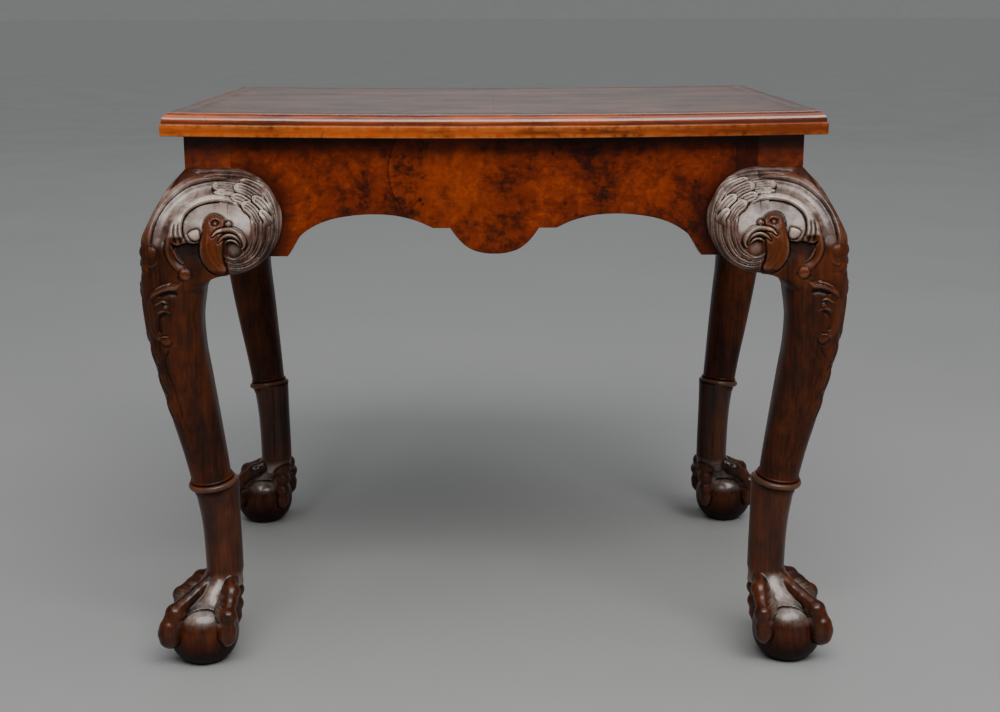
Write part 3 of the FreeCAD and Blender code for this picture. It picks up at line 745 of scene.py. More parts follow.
def carve_straps(knee):
    """Soft beads with buttons on the knee, a scroll with its cuts below, then leaves and berries."""
    raise_bead(knee, lifted(strap), 6.8, 1.5, (0.1, 0.05), soft=True, warm=0.8)
    for points, width, depth in strap_cuts:
        cut_groove(knee, lifted(points), width, depth)
    raise_boss(knee, strap_button, 5.6, 1.8, warm=1.0, cut=0.35, power=0.8)
    raise_boss(knee, upper_button, 5.6, 1.3, warm=0.5, cut=0.3, power=1.2)
    raise_bead(knee, lifted(button_link), 3.6, 0.9, (0.3, 0.4), soft=True)
    raise_boss(knee, lower_button, 5.6, 1.4, warm=0.5, cut=0.3, power=1.1)
    raise_bead(knee, scroll, 7.0, 1.7, (0.3, 0.25), soft=True, warm=0.45)
    raise_bead(knee, scroll_edge, 2.2, 2.1, (0.4, 0.4), warm=0.6)
    cut_groove(knee, scroll_cut, 4.4, 1.6)
    raise_bead(knee, scroll_curl, 2.4, 1.1, (0.3, 0.2))
    raise_boss(knee, (17, 361.4), 2.8, 1.3, cut=0.5)
    raise_bead(knee, scroll_leaf, 2.6, 0.9, (0.3, 0.3), cut=0.5)
    raise_bead(knee, lower_scroll, 6.8, 1.3, (0.1, 0.1), soft=True, warm=0.4)
    cut_groove(knee, lower_cut, 3.2, 1.5)
    raise_boss(knee, (18.6, 329), 4.8, 1.6, warm=0.3, cut=0.5, power=0.8)
    raise_bead(knee, lower_lip, 1.8, 2.3, (0.3, 0.3), warm=0.4)
    for points in leaves:
        raise_bead(knee, points, 6.6, 1.5, (0.3, 0.5), soft=True, warm=0.3)
    cut_groove(knee, stem, 3.2, 1.3)
    for berry in berries:
        raise_boss(knee, berry, 2.4, 1.0)


def carve(along, up):
    """The whole pattern on the given points: relief, warmth of colour, painted sheen and painted shade; the
    sheen is painted brighter towards the knee's top, which faces the light.
    """
    knee = CarvedFace(along - pattern_shift[0], up - pattern_shift[1])
    for work in (carve_volute, carve_feathers, carve_head, carve_straps):
        work(knee)
    fade = 1 - ease(up, knee_top - 3.5, knee_top - 0.5)
    # Painted sheen made brighter towards the knee's top, which faces the light.
    bright = 0.30 + 0.70 * ease(up, knee_top - 68, knee_top - 32)
    return knee.height * fade, knee.warmth, knee.polish * bright, knee.shade


print("the carving runs down to", leaves[-1][-1][1], "mm above the floor")

# %% [markdown]
# The cuts are darkened with dark wax and painted shade. How sunk a point is, is found by comparing its
# height with the smoothed height round it, and stored on the mesh for the finish to read.

# %% Sunk and raised places
def sunk(height, rounds=14):
    """Smoothed height less the height itself: positive in the cuts, negative on the ridges."""
    soft = height.copy()
    for _ in range(rounds):
        padded = np.pad(soft, ((1, 1), (0, 0)), "edge")
        wrapped = np.roll(soft, 1, 1) + np.roll(soft, -1, 1)
        soft = (padded[:-2] + padded[2:] + wrapped + 2 * soft) / 6
    return soft - height


groove = np.zeros((9, 9))
groove[4] = -1
print("a groove one deep counts as sunk by", round(float(sunk(groove)[4, 4]), 2))

# %% [markdown]
# ## The carved legs
# Each row is one rounded square. On the outer two faces the points are less than a millimetre
# apart, because the finest cuts are about 1.5 wide, and the plain inner faces have far fewer.

# %% Leg body
def spaced_rows(bounds, steps):
    """Heights from one bound to the next, in equal steps no longer than asked."""
    parts = []
    for low, high, step in zip(bounds[:-1], bounds[1:], steps):
        parts.append(np.linspace(low, high, max(2, int(round((high - low) / step))), endpoint=False))
    return np.concatenate(parts + [[bounds[-1]]])


leg_bottom = 172
row_bounds = [leg_bottom, 246, 300, knee_bottom - 6, knee_bottom + 50, knee_top, knee_top + 0.4, under_top]
row_steps = [3.4, 1.6, 1.0, 0.62, 0.52, 0.2, 12]
carved_points, plain_points = 128, 20


def leg_body():
    """Rounded squares: half the width times (s, 1) over (1 + |s| to n) to 1/n, for s from -1 to 1."""
    z = spaced_rows(row_bounds, row_steps)[:, None]
    dense = np.linspace(-1, 1, carved_points + 1)[:-1]
    coarse = np.linspace(-1, 1, plain_points + 1)[:-1]
    outer, inner = outer_face(z), inner_face(z)
    middle, half = (outer + inner) / 2, (outer - inner) / 2
    sides = []
    out_n, other_n = squareness(z, outer_corner), squareness(z, other_corners)
    seam = ease(z, knee_bottom - 16, knee_bottom - 1)
    for s, side in ((dense, 0), (-dense, 1), (-coarse, 2), (coarse, 3)):
        carved = side < 2
        n = np.where((s > 0) & carved, out_n, other_n)
        shrink = (1 + np.abs(s) ** n) ** (-1 / n)
        lean = np.sign(s) * np.abs(s) ** (n - 1)
        if carved:
            lean = np.where(s < 0, lean * (1 - seam), lean)
        u, v = half * s * shrink, half * shrink
        place = [(u, v), (v, u), (u, -v), (-v, u)][side]
        facing_x, facing_y = [(lean, 1), (1, lean), (lean, -1), (-1, lean)][side]
        whole = np.ones(u.shape)
        facing_and_front = facing_x * whole, facing_y * whole, carved * whole
        sides.append((middle + place[0], middle + place[1], *facing_and_front))
    x, y, nx, ny, front = (np.concatenate(part, 1) for part in zip(*sides))
    up = np.broadcast_to(z, x.shape)
    relief, warmth, polish, shade = (part * front for part in carve(np.minimum(x, y), up))
    slope = np.where(z > knee_top - 1, 0, steepness(outer_face, z))
    length = np.hypot(nx, ny)
    nz = -slope * length
    size = np.sqrt(length ** 2 + nz ** 2)
    points = np.stack([x + relief * nx / size, y + relief * ny / size, up + relief * nz / size], -1)
    caps = [[-10, -10, leg_bottom], [-21, -21, under_top]]
    # The sunk value also carries the painted shade of the step.
    values = {"sunk": sunk(relief) + shade, "warmth": warmth, "polish": polish}
    values = point_values({key: value[:, ::-1] for key, value in values.items()})
    return *closed_skin(points[:, ::-1], *caps), values


leg_skin = leg_body()
ridge = -float(leg_skin[3]["sunk"].min())
print("leg body", len(leg_skin[1]) * 2, "triangles, sharpest ridge", round(ridge, 1), "mm proud")

# %% [markdown]
# ## The ears
# An ear is a half disc glued to the face of the rail beside each knee. It carries the knee's curve
# on, thins towards its rim, and its edge is rounded over. The grid is polar: rings from the middle
# of the disc to the rim, then down the rim and back along the flat glued face.

# %% Ear
ear_rim = 13.0
thinning_shares = [(0.0, 1.06), (0.30, 1.0), (0.60, 0.84), (0.85, 0.58), (1.0, ear_rim / knee_reach)]
ear_thinning = [(place, share * knee_reach) for place, share in thinning_shares]
ear_blend, rounded_share, most_rounded, carving_ends = 2.5, 0.45, 6.5, (0.955, 0.995)
ear_eye = 0.012
ear_rings = np.concatenate([np.linspace(ear_eye, 0.86, 78), np.linspace(0.87, 1.0, 16)])[:, None]
ear_spokes = np.radians(np.linspace(-90, 90, 280))[None, :]


def half_disc(rings):
    """Place along and height of a half disc's points: radius times the cosine and sine of each spoke."""
    return (-post_width - ear_radius * rings * np.cos(ear_spokes),
            ear_middle + ear_radius * rings * np.sin(ear_spokes))


def ear_skin():
    """The lesser of the knee's curve and the thinning towards the rim, rounded over, then carved."""
    x, z = half_disc(ear_rings)
    knee = smooth_through(z, knee_line)
    thin = smooth_through((-post_width - x) / ear_radius, ear_thinning)
    face = soft_join(knee, thin, ear_blend)
    round_over = np.clip(rounded_share * face[-1:], 0.01, most_rounded)
    over = np.clip(ear_radius * ear_rings - (ear_radius - round_over), 0, round_over)
    rolled = face - (round_over - np.sqrt(np.clip(round_over ** 2 - over ** 2, 0, None)))
    relief, warmth, polish, shade = carve(x, z)
    relief = relief * (1 - ease(ear_rings, *carving_ends))
    slope = steepness(lambda height: smooth_through(height, knee_line), z)
    size = np.sqrt(1 + slope ** 2)
    front = np.stack([x, np.maximum(rolled, 0) + relief / size, z - relief * slope / size], -1)
    front[..., 1] = np.maximum(front[..., 1], 0.0)
    down = np.linspace(1, 0, 9)[1:-1][:, None]
    wall = np.stack([x[-1:] + 0 * down, front[-1:, :, 1] * down, z[-1:] + 0 * down], -1)
    back_x, back_z = half_disc(np.array([1.0, 0.5, ear_eye])[:, None])
    back = np.stack([back_x, 0 * back_x, back_z], -1)
    points = np.concatenate([front, wall, back])[::-1]
    middle_y = float(smooth_through(np.array([ear_middle]), knee_line)[0])
    caps = [[-post_width, 0, ear_middle], [-post_width, middle_y, ear_middle]]
    rest = np.zeros((len(wall) + len(back), x.shape[1]))
    # The sunk value also carries the painted shade of the step.
    values = {"sunk": sunk(relief) + shade, "warmth": warmth, "polish": polish}
    values = point_values({key: np.concatenate([part, rest])[::-1] for key, part in values.items()})
    return *closed_skin(points, *caps), values


ear = ear_skin()
print("ear", len(ear[1]) * 2, "triangles")

# %% [markdown]
# ## The claw feet
# Four toes grip a ball. Such a form has no simple outline, so it is described as a distance: how far
# is a point from the ball, from a chain of spheres along each toe, and from the web of skin between
# them. Joining these distances softly gives flesh where they meet. Rays sent inwards to the foot's
# leaning axis then find the skin, one point per ray, row by row.

# %% Shapes of the foot
ball_radius, ball_height, ball_offset = 34.0, 30.5, 3.4
ball_centre = np.array([ball_offset, ball_offset, ball_height])
toes = {  # bearing from the leg's outer corner; rows of reach from the axis, height, radius
    "outward": (0, [
        (10, 83, 4.8), (15.8, 76, 6.2), (20.2, 71.3, 6.9), (24.8, 66, 7.1), (30.5, 61.5, 7.3),
        (34, 56.5, 8.8), (36, 50, 8.0), (39.3, 43.5, 9.1), (40.8, 38, 9.4), (40.6, 32.5, 8.4),
        (38.6, 27.5, 6.2),
    ]),
    "side": (91, [
        (12, 81, 4.6), (18.5, 77, 6.4), (25.5, 72, 8.0), (32, 65.5, 7.2), (36.5, 60, 6.6),
        (39.7, 54.5, 8.1), (40.3, 47, 6.9), (39.6, 40, 7.9), (38.6, 34, 7.9), (37.6, 29, 6.2),
    ]),
    "back": (180, [
        (10, 83, 4.8), (14, 77.5, 6.2), (20, 72.5, 6.9), (28, 67, 6.8), (34.5, 60.5, 7.9),
        (37, 53, 6.7), (38, 46, 7.8), (37.8, 39, 6.6), (37, 33, 7.3), (36, 28, 6.0),
    ]),
}
knuckle_radius = 7.3
shank_middle = [(60, -16.9), (93, -16.3), (110, -15.9), (146, -13.5), (177, -9.9), (190, -8.5)]
shank_radius = [(60, 16.8), (93, 17.1), (146, 17.6), (165, 18.2), (177, 19.0), (190, 19.3)]


def foot_axis(z):
    """Sideways place of the foot's axis: over the ball low down, under the ankle higher up."""
    lean = ease(z, 50, 90)
    return np.where(z > 90, smooth_through(z, shank_middle), ball_offset + lean * (-16.4 - ball_offset))


print("where two surfaces cross, a blend of 4 mm adds", -soft_join(0.0, 0.0, 4.0), "mm of flesh")

# %% [markdown]
# A toe is a chain of spheres from the ankle to the talon, with a bigger sphere at each knuckle. The
# web is the skin stretched between the toes, cut to a round arch over the ball.

# %% Toes and web
far_off, stretch_share, knuckle_share, stretch_blend, knuckle_blend = 1e3, 0.94, 1.08, 1.2, 1.6
ball_fullness = 2.2
web_upright, web_leaning, web_axis = 50, 37, -16.6
arch_foot, arch_height, arch_half, arch_power = 38.0, 20.8, 18.5, 2.6
lip_height, lip_above, lip_width = 0.5, 0.9, 0.8
web_radius, web_flare, flare_bottom, flare_top = 17.2, 4.4, 58, 88
web_thickness, web_blend, web_rounding = 0.7, 7.0, 0.8


def round_cone(p, start, end, first, last):
    """Distance to a stretch between two spheres: distance to the line, less the radius there."""
    line = end - start
    t = np.clip((p - start) @ line / (line @ line), 0, 1)
    return np.linalg.norm(p - start - t[:, None] * line, axis=1) - (first + t * (last - first))


def toe_distance(p, bearing, rows):
    """Least distance to the stretches between a toe's spheres and to its knuckles, softly joined."""
    angle = math.radians(45 + bearing)
    outward = np.array([math.cos(angle), math.sin(angle), 0.0])
    centres = []
    for out, z, _ in rows:
        axis = float(foot_axis(np.array(z, float)))
        centres.append(np.array([axis, axis, z]) + outward * out)
    distance = np.full(len(p), far_off)
    slim = [radius * stretch_share for _, _, radius in rows]
    for i in range(len(rows) - 1):
        stretch = round_cone(p, centres[i], centres[i + 1], slim[i], slim[i + 1])
        distance = soft_join(distance, stretch, stretch_blend)
    for centre, (_, _, radius) in zip(centres, rows):
        if radius > knuckle_radius:
            knuckle = np.linalg.norm(p - centre, axis=1) - radius * knuckle_share
            distance = soft_join(distance, knuckle, knuckle_blend)
    return distance


def ball_distance(p):
    """Distance to a ball that is round above, and a little squarer and fuller below its middle."""
    away = p - ball_centre
    lower = np.clip(-away[:, 2], 0, None)
    upper = np.clip(away[:, 2], 0, None)
    level = np.hypot(away[:, 0], away[:, 1])
    full = (level ** ball_fullness + lower ** ball_fullness) ** (1 / ball_fullness)
    return np.where(away[:, 2] < 0, full, np.hypot(level, upper)) - ball_radius


def web_distance(p):
    """Skin between the toes: a flared cone with a thin lip, cut to a round arch over the ball."""
    lean = np.clip((p[:, 2] - web_upright) / web_leaning, 0, 1)
    axis = ball_offset + lean * (web_axis - ball_offset)
    dx, dy = p[:, 0] - axis, p[:, 1] - axis
    away = np.hypot(dx, dy)
    bearing = np.degrees(np.arctan2(dy, dx)) - 45
    bearing = np.abs((bearing + 180) % 360 - 180)
    side_toe = toes["side"][0]
    middle = np.where(bearing < side_toe, side_toe / 2, 90 + side_toe / 2)
    aside = away * np.sin(np.radians(np.abs(bearing - middle)))
    arch = np.clip(1 - np.abs(aside / arch_half) ** arch_power, 0, 1) ** 0.5
    above = p[:, 2] - (arch_foot + arch_height * arch)
    lip = lip_height * bell(above - lip_above, lip_width)
    over_ball = np.linalg.norm(p - ball_centre, axis=1) - ball_radius - web_thickness
    flared = web_radius + web_flare * ease(-p[:, 2], -flare_top, -flare_bottom)
    cone = soft_join(away - flared, over_ball, web_blend) - lip
    return -soft_join(-cone, above, web_rounding)


on_top = np.array([[ball_offset, ball_offset, ball_height + ball_radius]])
print("the top of the ball is", round(float(toe_distance(on_top, *toes["side"])[0]), 1), "mm from a side toe")

# %% [markdown]
# The whole foot is the soft least of these distances. Where claw, web and ball meet, the carver cut
# a fine crease, darkened with wax and painted shade, so the nearness of two surfaces is kept as a value too.

# %% The whole foot
shank_bottom, shank_blend, claw_blend, ball_blend = 70, 4.0, 2.6, 0.5
ball_crease, ball_crease_width = 0.75, 1.3
toe_crease, toe_crease_width, toe_crease_top = 0.6, 1.6, 82
web_beside_toe, web_fades = (0.3, 3.5), (74, 88)


def foot_distance(p):
    """Distance to the skin, how far under the ball's skin the flesh is, crease and share of web."""
    ball, web = ball_distance(p), web_distance(p)
    axis = smooth_through(p[:, 2], shank_middle)
    shank = np.hypot(p[:, 0] - axis, p[:, 1] - axis) - smooth_through(p[:, 2], shank_radius)
    shank = np.maximum(shank, shank_bottom - p[:, 2])
    side_toe, side_rows = toes["side"]
    all_toes = [toes["outward"], toes["back"], (side_toe, side_rows), (-side_toe, side_rows)]
    claws = np.min([toe_distance(p, *toe) for toe in all_toes], axis=0)
    flesh = soft_join(soft_join(web, shank, shank_blend), claws, claw_blend)
    skin = soft_join(flesh, ball, ball_blend)
    beside_toe = bell(claws - web, toe_crease_width) * (p[:, 2] < toe_crease_top)
    beside_toe = beside_toe * (flesh < ball + ball_blend)
    crease = ball_crease * bell(ball - flesh, ball_crease_width) + toe_crease * beside_toe
    on_web = ease(claws - web, *web_beside_toe) * (flesh < ball) * (1 - ease(p[:, 2], *web_fades))
    return np.maximum(skin, -p[:, 2]), ball - flesh, crease, on_web


print("the top of the ball lies", round(-float(foot_distance(on_top)[0][0]), 1), "mm under the foot's skin")

# %% [markdown]
# Rays find the skin from outside. Round the leg they run in level to its axis, row by row, and
# below the middle of the ball they dip more and more. The points that the rays reach are the grid.

# %% Skin of the foot
foot_top, foot_columns, first_reach, least_reach = 180.0, 300, 66.0, 1.0
foot_rows = spaced_rows([ball_height, 96, 112, foot_top], [0.85, 2.0, 4.5])[::-1]
under_ball = np.radians(np.concatenate([np.arange(1.6, 66, 1.6), [70, 77, 84]]))
most_steps, step_share, near_enough = 60, 0.8, 0.02
# The web and the top of the ball get a painted sheen; the ball is a darker tone, with painted shade on its
# lower part.
web_painted_sheen, ball_painted_sheen, painted_sheen_heights = 0.5, 0.62, (40, 56)
darker_ball_tone, painted_shade_below, painted_shade_heights = 0.16, 0.34, (6, 36)
ball_gloss, claw_gloss, gloss_heights = 0.5, 0.6, (22, 48)
most_worn, worn_share, worn_top = -0.6, 0.35, 100


def foot_skin():
    """Each ray's reach shrinks by a share of its distance to the skin, until it is near enough."""
    columns = np.radians(np.arange(0, 360, 360 / foot_columns))[None, :]
    z = np.concatenate([foot_rows, np.full(len(under_ball), ball_height)])[:, None]
    dip = np.concatenate([np.zeros(len(foot_rows)), under_ball])[:, None]
    axis = foot_axis(z)
    start = np.stack([axis + 0 * columns, axis + 0 * columns, z + 0 * columns], -1).reshape(-1, 3)
    level = np.cos(dip)
    outward = [np.cos(columns) * level, np.sin(columns) * level, -np.sin(dip) + 0 * columns]
    outward = np.stack(outward, -1).reshape(-1, 3)
    reach = np.full(len(start), first_reach)
    moving = np.arange(len(start))
    for _ in range(most_steps):
        distance = foot_distance(start[moving] + outward[moving] * reach[moving, None])[0]
        reach[moving] = np.maximum(reach[moving] - distance * step_share, least_reach)
        moving = moving[np.abs(distance) > near_enough]
        if len(moving) == 0:
            break
    points = start + outward * reach[:, None]
    _, over_ball, crease, on_web = foot_distance(points)
    on_ball = (over_ball < 0) * 1.0
    height = points[:, 2]
    # Painted sheen on the web and the ball's top; painted shade on the ball's lower part.
    polish = web_painted_sheen * on_web + ball_painted_sheen * on_ball * ease(height, *painted_sheen_heights)
    darker_ball_and_painted_shade = on_ball * (darker_ball_tone + painted_shade_below * (1 - ease(height, *painted_shade_heights)))
    shine = np.where(over_ball < 0, ball_gloss * ease(height, *gloss_heights), claw_gloss)
    points = points.reshape(len(z), -1, 3)
    caps = [[ball_offset, ball_offset, 0.0], [-8, -8, foot_top]]
    grid = (len(z), -1)
    worn = np.clip(sunk(reach.reshape(grid), 6), most_worn, 0) * (z < worn_top)
    crease = (crease + darker_ball_and_painted_shade).reshape(grid) + worn_share * worn
    values = {
        "sunk": crease[::-1], "warmth": np.zeros(crease.shape),
        "polish": polish.reshape(grid)[::-1], "gloss": shine.reshape(grid)[::-1],
    }
    return *closed_skin(points[::-1], *caps), point_values(values)


foot = foot_skin()
print("foot", len(foot[1]) * 2, "triangles")

# %% [markdown]
# ## The rings
# A turned collar sits where the leg meets the shank of the foot: a full bead between two thin
# fillets. It is a profile carried round the leaning axis of the leg.

# %% Ring skin
ring_centre, ring_lean = np.array([-9.8, -9.8, 178.4]), np.array([7.0, 7.0, 59.8])
ring_half, ring_rows, ring_columns = 9.2, 57, 90
ring_body, ring_end, end_length = 18.3, 16.5, 0.6
shoulder_radius, shoulder_top = 18.9, -4.4
bead_radius, bead_rise, bead_half = 18.4, 5.1, 3.8
fillet_rise, fillet_half, fillet_place = 2.5, 1.5, 5.3


def ring_skin():
    """Radius along the axis: the greatest of the body, a half round bead and two half round fillets."""
    place = np.linspace(-ring_half, ring_half, ring_rows)
    bead = bead_radius + bead_rise * np.sqrt(np.clip(1 - (place / bead_half) ** 2, 0, None))
    fillet = np.sqrt(np.clip(1 - ((np.abs(place) - fillet_place) / fillet_half) ** 2, 0, None))
    fillets = ring_body + fillet_rise * fillet * np.where(place > 0, 1, 0.5)
    radius = np.maximum(np.maximum(bead, fillets), ring_body)
    radius = np.where(np.abs(place) > ring_half - end_length, ring_end, radius)
    on_shoulder = (place < shoulder_top) & (place > end_length - ring_half)
    radius = np.where(on_shoulder, np.maximum(radius, shoulder_radius), radius)
    lean = ring_lean / np.linalg.norm(ring_lean)
    first = np.cross(lean, [1.0, -1.0, 0.0])
    first = first / np.linalg.norm(first)
    second = np.cross(lean, first)
    angle = np.radians(np.arange(0, 360, 360 / ring_columns))
    spoke = np.cos(angle)[:, None] * first + np.sin(angle)[:, None] * second
    points = ring_centre + place[:, None, None] * lean + radius[:, None, None] * spoke[None]
    skin = closed_skin(points, ring_centre + place[0] * lean, ring_centre + place[-1] * lean)
    # Darker beside the bead, lighter on it: painted shade and a painted highlight, with wax and wear.
    beside_bead = np.abs(np.abs(place) - bead_half - 0.1)
    hollow = 1.2 * bell(beside_bead, 0.6) - 0.5 * (np.abs(place) < 3)
    hollow = np.broadcast_to(hollow[:, None], (ring_rows, ring_columns))
    plain = np.zeros(len(skin[0]))
    return *skin, {**point_values({"sunk": hollow}), "warmth": plain + 0.2, "polish": plain}


ring = ring_skin()
print("ring", len(ring[1]) * 2, "triangles")

# %% [markdown]
# Each corner now gets a leg, a foot, a ring and two ears. The short side's ear is the long side's
# with its two level directions exchanged, which is a mirror, so its faces are turned round.

# %% Place the carved work at the four corners
turned_ear = ear[0][:, [1, 0, 2]], ear[1][:, ::-1], ear[2][:, ::-1], ear[3]
corner_work = [
    ("carved_leg_", leg_skin, "leg_"), ("claw_foot_", foot, "leg_"), ("leg_ring_", ring, "leg_"),
    ("carved_ear_long_", ear, "ear_long_"), ("carved_ear_short_", turned_ear, "ear_short_"),
]
for corner, signs in corner_signs.items():
    for name, (*skin, values), replaced in corner_work:
        mesh = make_mesh(name + corner, *to_corner(*skin, signs), values)
        add_piece(name + corner, mesh, "carved_wood", replaced + corner)

# %% [markdown]
# ## The top
# The top has sagged: its front edge is about three millimetres lower at its middle than at its
# ends. The bow is a parabola along the length, a little deeper at the front, and the board, the two
# veneer leaves and the four mouldings share it.

# %% Bow of the top
bow_depth, bow_slant = 2.6, 0.3


def bow(x, y):
    """Drop of the top: a parabola along the length, deeper towards the front."""
    return -(bow_depth - bow_slant * y / half_depth) * (1 - (x / half_length) ** 2)


print("the front edge sags by", round(float(-bow(0, -half_depth)), 1), "mm at its middle")

# %% [markdown]
# A moulding is one profile planed along a stick and cut to a mitre at both ends. Each point of the
# profile also says how rubbed and how dark it is: arrises are worn bright by hands, the upward
# fillet also gets a painted highlight, and the corners between them and the outward face under the
# ovolo get dirt and painted shade.

# %% Edge mouldings
# The rubbed column also paints a highlight on the upward fillet; the grimy column is dirt and painted shade
# in the corners and on the outward face under the ovolo.
moulding_profile = [  # inset from the top's edge, rise above its underside, rubbed, grimy
    (0.5, 0.0, 0, 0), (0.0, 0.5, 1, 0), (0.0, 5.0, 0, 0), (0.0, 9.9, 1, 0), (0.5, 10.5, 1, 0),
    (1.0, 10.6, 0, 0.7), (1.4, 10.7, 1, 0), (1.5, 11.3, 0, 0), (1.4, 11.7, 0, 0.9), (1.45, 13.2, 0, 0.5),
    (1.9, 15.2, 0, 0), (2.8, 17.0, 0, 0), (4.1, 18.6, 0, 0), (5.4, 19.55, 0, 0), (6.3, 19.85, 0, 0),
    (6.75, 19.95, 0, 1.0), (6.8, 20.5, 0, 0.6), (7.1, 20.9, 1, 0), (7.8, 21.0, 1, 0), (14.0, 21.0, 0, 0),
    (21.6, 21.0, 0, 0.8), (22.0, 20.8, 0, 0), (22.0, 10.0, 0, 0), (22.0, 0.0, 0, 1.0), (12.0, 0.0, 0, 0),
]
moulding_stations = 61


def moulding_skin(side):
    """The profile carried along one side, cut to a mitre where its length is shortened by the inset."""
    inset, rise, rubbed, dirt_and_shade = np.array(moulding_profile).T
    long_side, turned = side in ("front", "back"), side in ("front", "right")
    length, reach = (half_length, half_depth) if long_side else (half_depth, half_length)
    share = np.linspace(-1, 1, moulding_stations)[:, None]
    along = share * (length - inset)
    across = np.broadcast_to(reach - inset, along.shape) * (-1 if side in ("front", "left") else 1)
    x, y = (along, across) if long_side else (across, along)
    order = slice(None, None, -1 if turned else 1)
    points = np.stack([x, y, under_top + rise + bow(x, y)], -1)[:, order]
    rows = {
        "edge": rubbed, "grime": dirt_and_shade, "upper": ((inset > 7.5) & (rise > 20)) * 1.0,
        "gloss": 0.2 + 0.8 * ((rise > 11) & (rise < 20.6) & (inset < 7)),
    }
    values = {key: np.broadcast_to(row[order], points.shape[:2]) for key, row in rows.items()}
    return *closed_skin(points, points[0].mean(0), points[-1].mean(0)), point_values(values)


for side in ("front", "back", "left", "right"):
    *skin, values = moulding_skin(side)
    mesh = make_mesh("top_moulding_" + side, *facing_out(*skin), values, crease=35)
    add_piece("top_moulding_" + side, mesh, "moulding_wood", "edge_moulding_" + side)

# %% [markdown]
# The board and the two leaves of veneer on it are slabs that follow the bow. The leaves meet in a
# fine joint at the middle, and near their borders they are rubbed, which the finish reads.

# %% Board and veneer leaves
moulding_width, half_joint, rubbed_border = 22.0, 0.06, 12
inner_length, inner_depth = half_length - moulding_width, half_depth - moulding_width
leaf_bottom = table_top - veneer
slab_stations = 49
slabs = {  # x and z from and to, points across, slot, node
    "bowed_board": (-inner_length, inner_length, under_top, leaf_bottom, 17, "carcass_wood", "top_core"),
    "veneer_leaf_left": (
        -inner_length, -half_joint, leaf_bottom, table_top, 33, "burr_veneer", "top_veneer_left",
    ),
    "veneer_leaf_right": (
        half_joint, inner_length, leaf_bottom, table_top, 33, "burr_veneer", "top_veneer_right",
    ),
}


def slab_skin(x_low, x_high, z_low, z_high, across):
    """A bowed board: rings run across its underside, round its long edges and over its top."""
    low, high = -inner_depth, inner_depth
    ring_y = np.concatenate([np.linspace(low, high, across), np.linspace(high, low, across)])
    ring_z = np.concatenate([np.full(across, z_low), np.full(across, z_high)])
    x = np.linspace(x_low, x_high, slab_stations)[:, None]
    y = np.broadcast_to(ring_y, (slab_stations, 2 * across))
    points = np.stack([x + 0 * y, y, ring_z + bow(x, y)], -1)
    return closed_skin(points, points[0].mean(0), points[-1].mean(0))


for name, (*sizes, slot, node) in slabs.items():
    vertices, quads, triangles = facing_out(*slab_skin(*sizes))
    border = np.minimum(inner_length - np.abs(vertices[:, 0]), inner_depth - np.abs(vertices[:, 1]))
    values = {"edge": np.clip(1 - border / rubbed_border, 0, 1)}
    mesh = make_mesh(name, vertices, quads, triangles, values, crease=30)
    add_piece(name, mesh, slot, node)

# %% [markdown]
# ## The frieze veneers
# Each rail is faced with one sheet of burr veneer, cut to the shaped lower edge: a lobe in the
# middle and an arch to each side. The sheet is a grid between that edge and the top of the rail.
# It knows how far each point is from the edge, because fingers and dusters have darkened it there.

# %% Shaped edge of the apron
lobe_line = [(0.0, 0.045), (0.07, 0.08), (0.13, 0.20), (0.175, 0.40), (0.215, 0.667)]
arch_line = [
    (0.298, 0.667), (0.36, 0.81), (0.45, 0.94), (0.58, 1.0), (0.70, 0.96), (0.80, 0.86),
    (0.89, 0.66), (0.945, 0.44), (0.98, 0.16), (1.0, 0.0),
]
arch_rise, ear_margin = 39.0, 3.0


def shaped_half(half):
    """Half the length that is shaped, between the margins of the ears."""
    return half - ear_radius - ear_margin


def apron_edge(x, half):
    """Height of the shaped edge: lobe, short level, arch, then level under the ear."""
    share = np.abs(x) / shaped_half(half)
    mirrored = [(-place, rise) for place, rise in lobe_line[:0:-1]] + lobe_line
    rise = np.where(share < lobe_line[-1][0], smooth_through(share, mirrored), lobe_line[-1][1])
    rise = np.where(share > arch_line[0][0], smooth_through(share, arch_line), rise)
    return apron_bottom + arch_rise * np.where(share > 1, 0, rise)


print("the lobe hangs down to", round(float(apron_edge(np.array(0.0), frieze_length - post_width)), 1), "mm")

# %% [markdown]
# A sheet closes like any other skin: up the face, over the eased lower edge and back along the
# rail. Columns are added where the edge turns sharply, so that its cusps stay crisp.

# %% Veneer sheets of the frieze
eased_edge, soiled_edge, soiled_and_shaded_by_ear = 0.35, 9, 20
sheet_columns = 161
cusps = np.array([0.215, 0.298, 0.945, 0.98, 1])
face_shares = np.append(np.linspace(1, 0.05, 20), 0.02)


def sheet_skin(half, face):
    """A thin closed sheet: the front face, its eased lower edge, and the back face."""
    turns = shaped_half(half) * np.concatenate([-cusps, cusps])
    x = np.unique(np.concatenate([np.linspace(-half, half, sheet_columns), turns]))[:, None]
    low = apron_edge(x, half)
    share = np.concatenate([face_shares, [0.0, 0.0, 0.3, 1.0]])[None, :]
    z = low + (under_top - low) * share
    z[:, -4] += eased_edge
    out = np.concatenate([0 * face_shares, [0, -eased_edge, -veneer, -veneer]])[None, :]
    points = np.stack([x + 0 * z, face + out + 0 * z, z], -1)
    beyond_ear = np.hypot(half - np.abs(x), z - ear_middle) - ear_radius
    edge = np.clip(1 - (z - low) / soiled_edge, 0, 1)
    # Darker beside the ears: dirt and painted shade.
    values = {"edge": edge, "grime": 1 - ease(beyond_ear, -2, soiled_and_shaded_by_ear)}
    for value in values.values():
        value[:, -2:] = 0
    return *closed_skin(points, points[0].mean(0), points[-1].mean(0)), point_values(values)


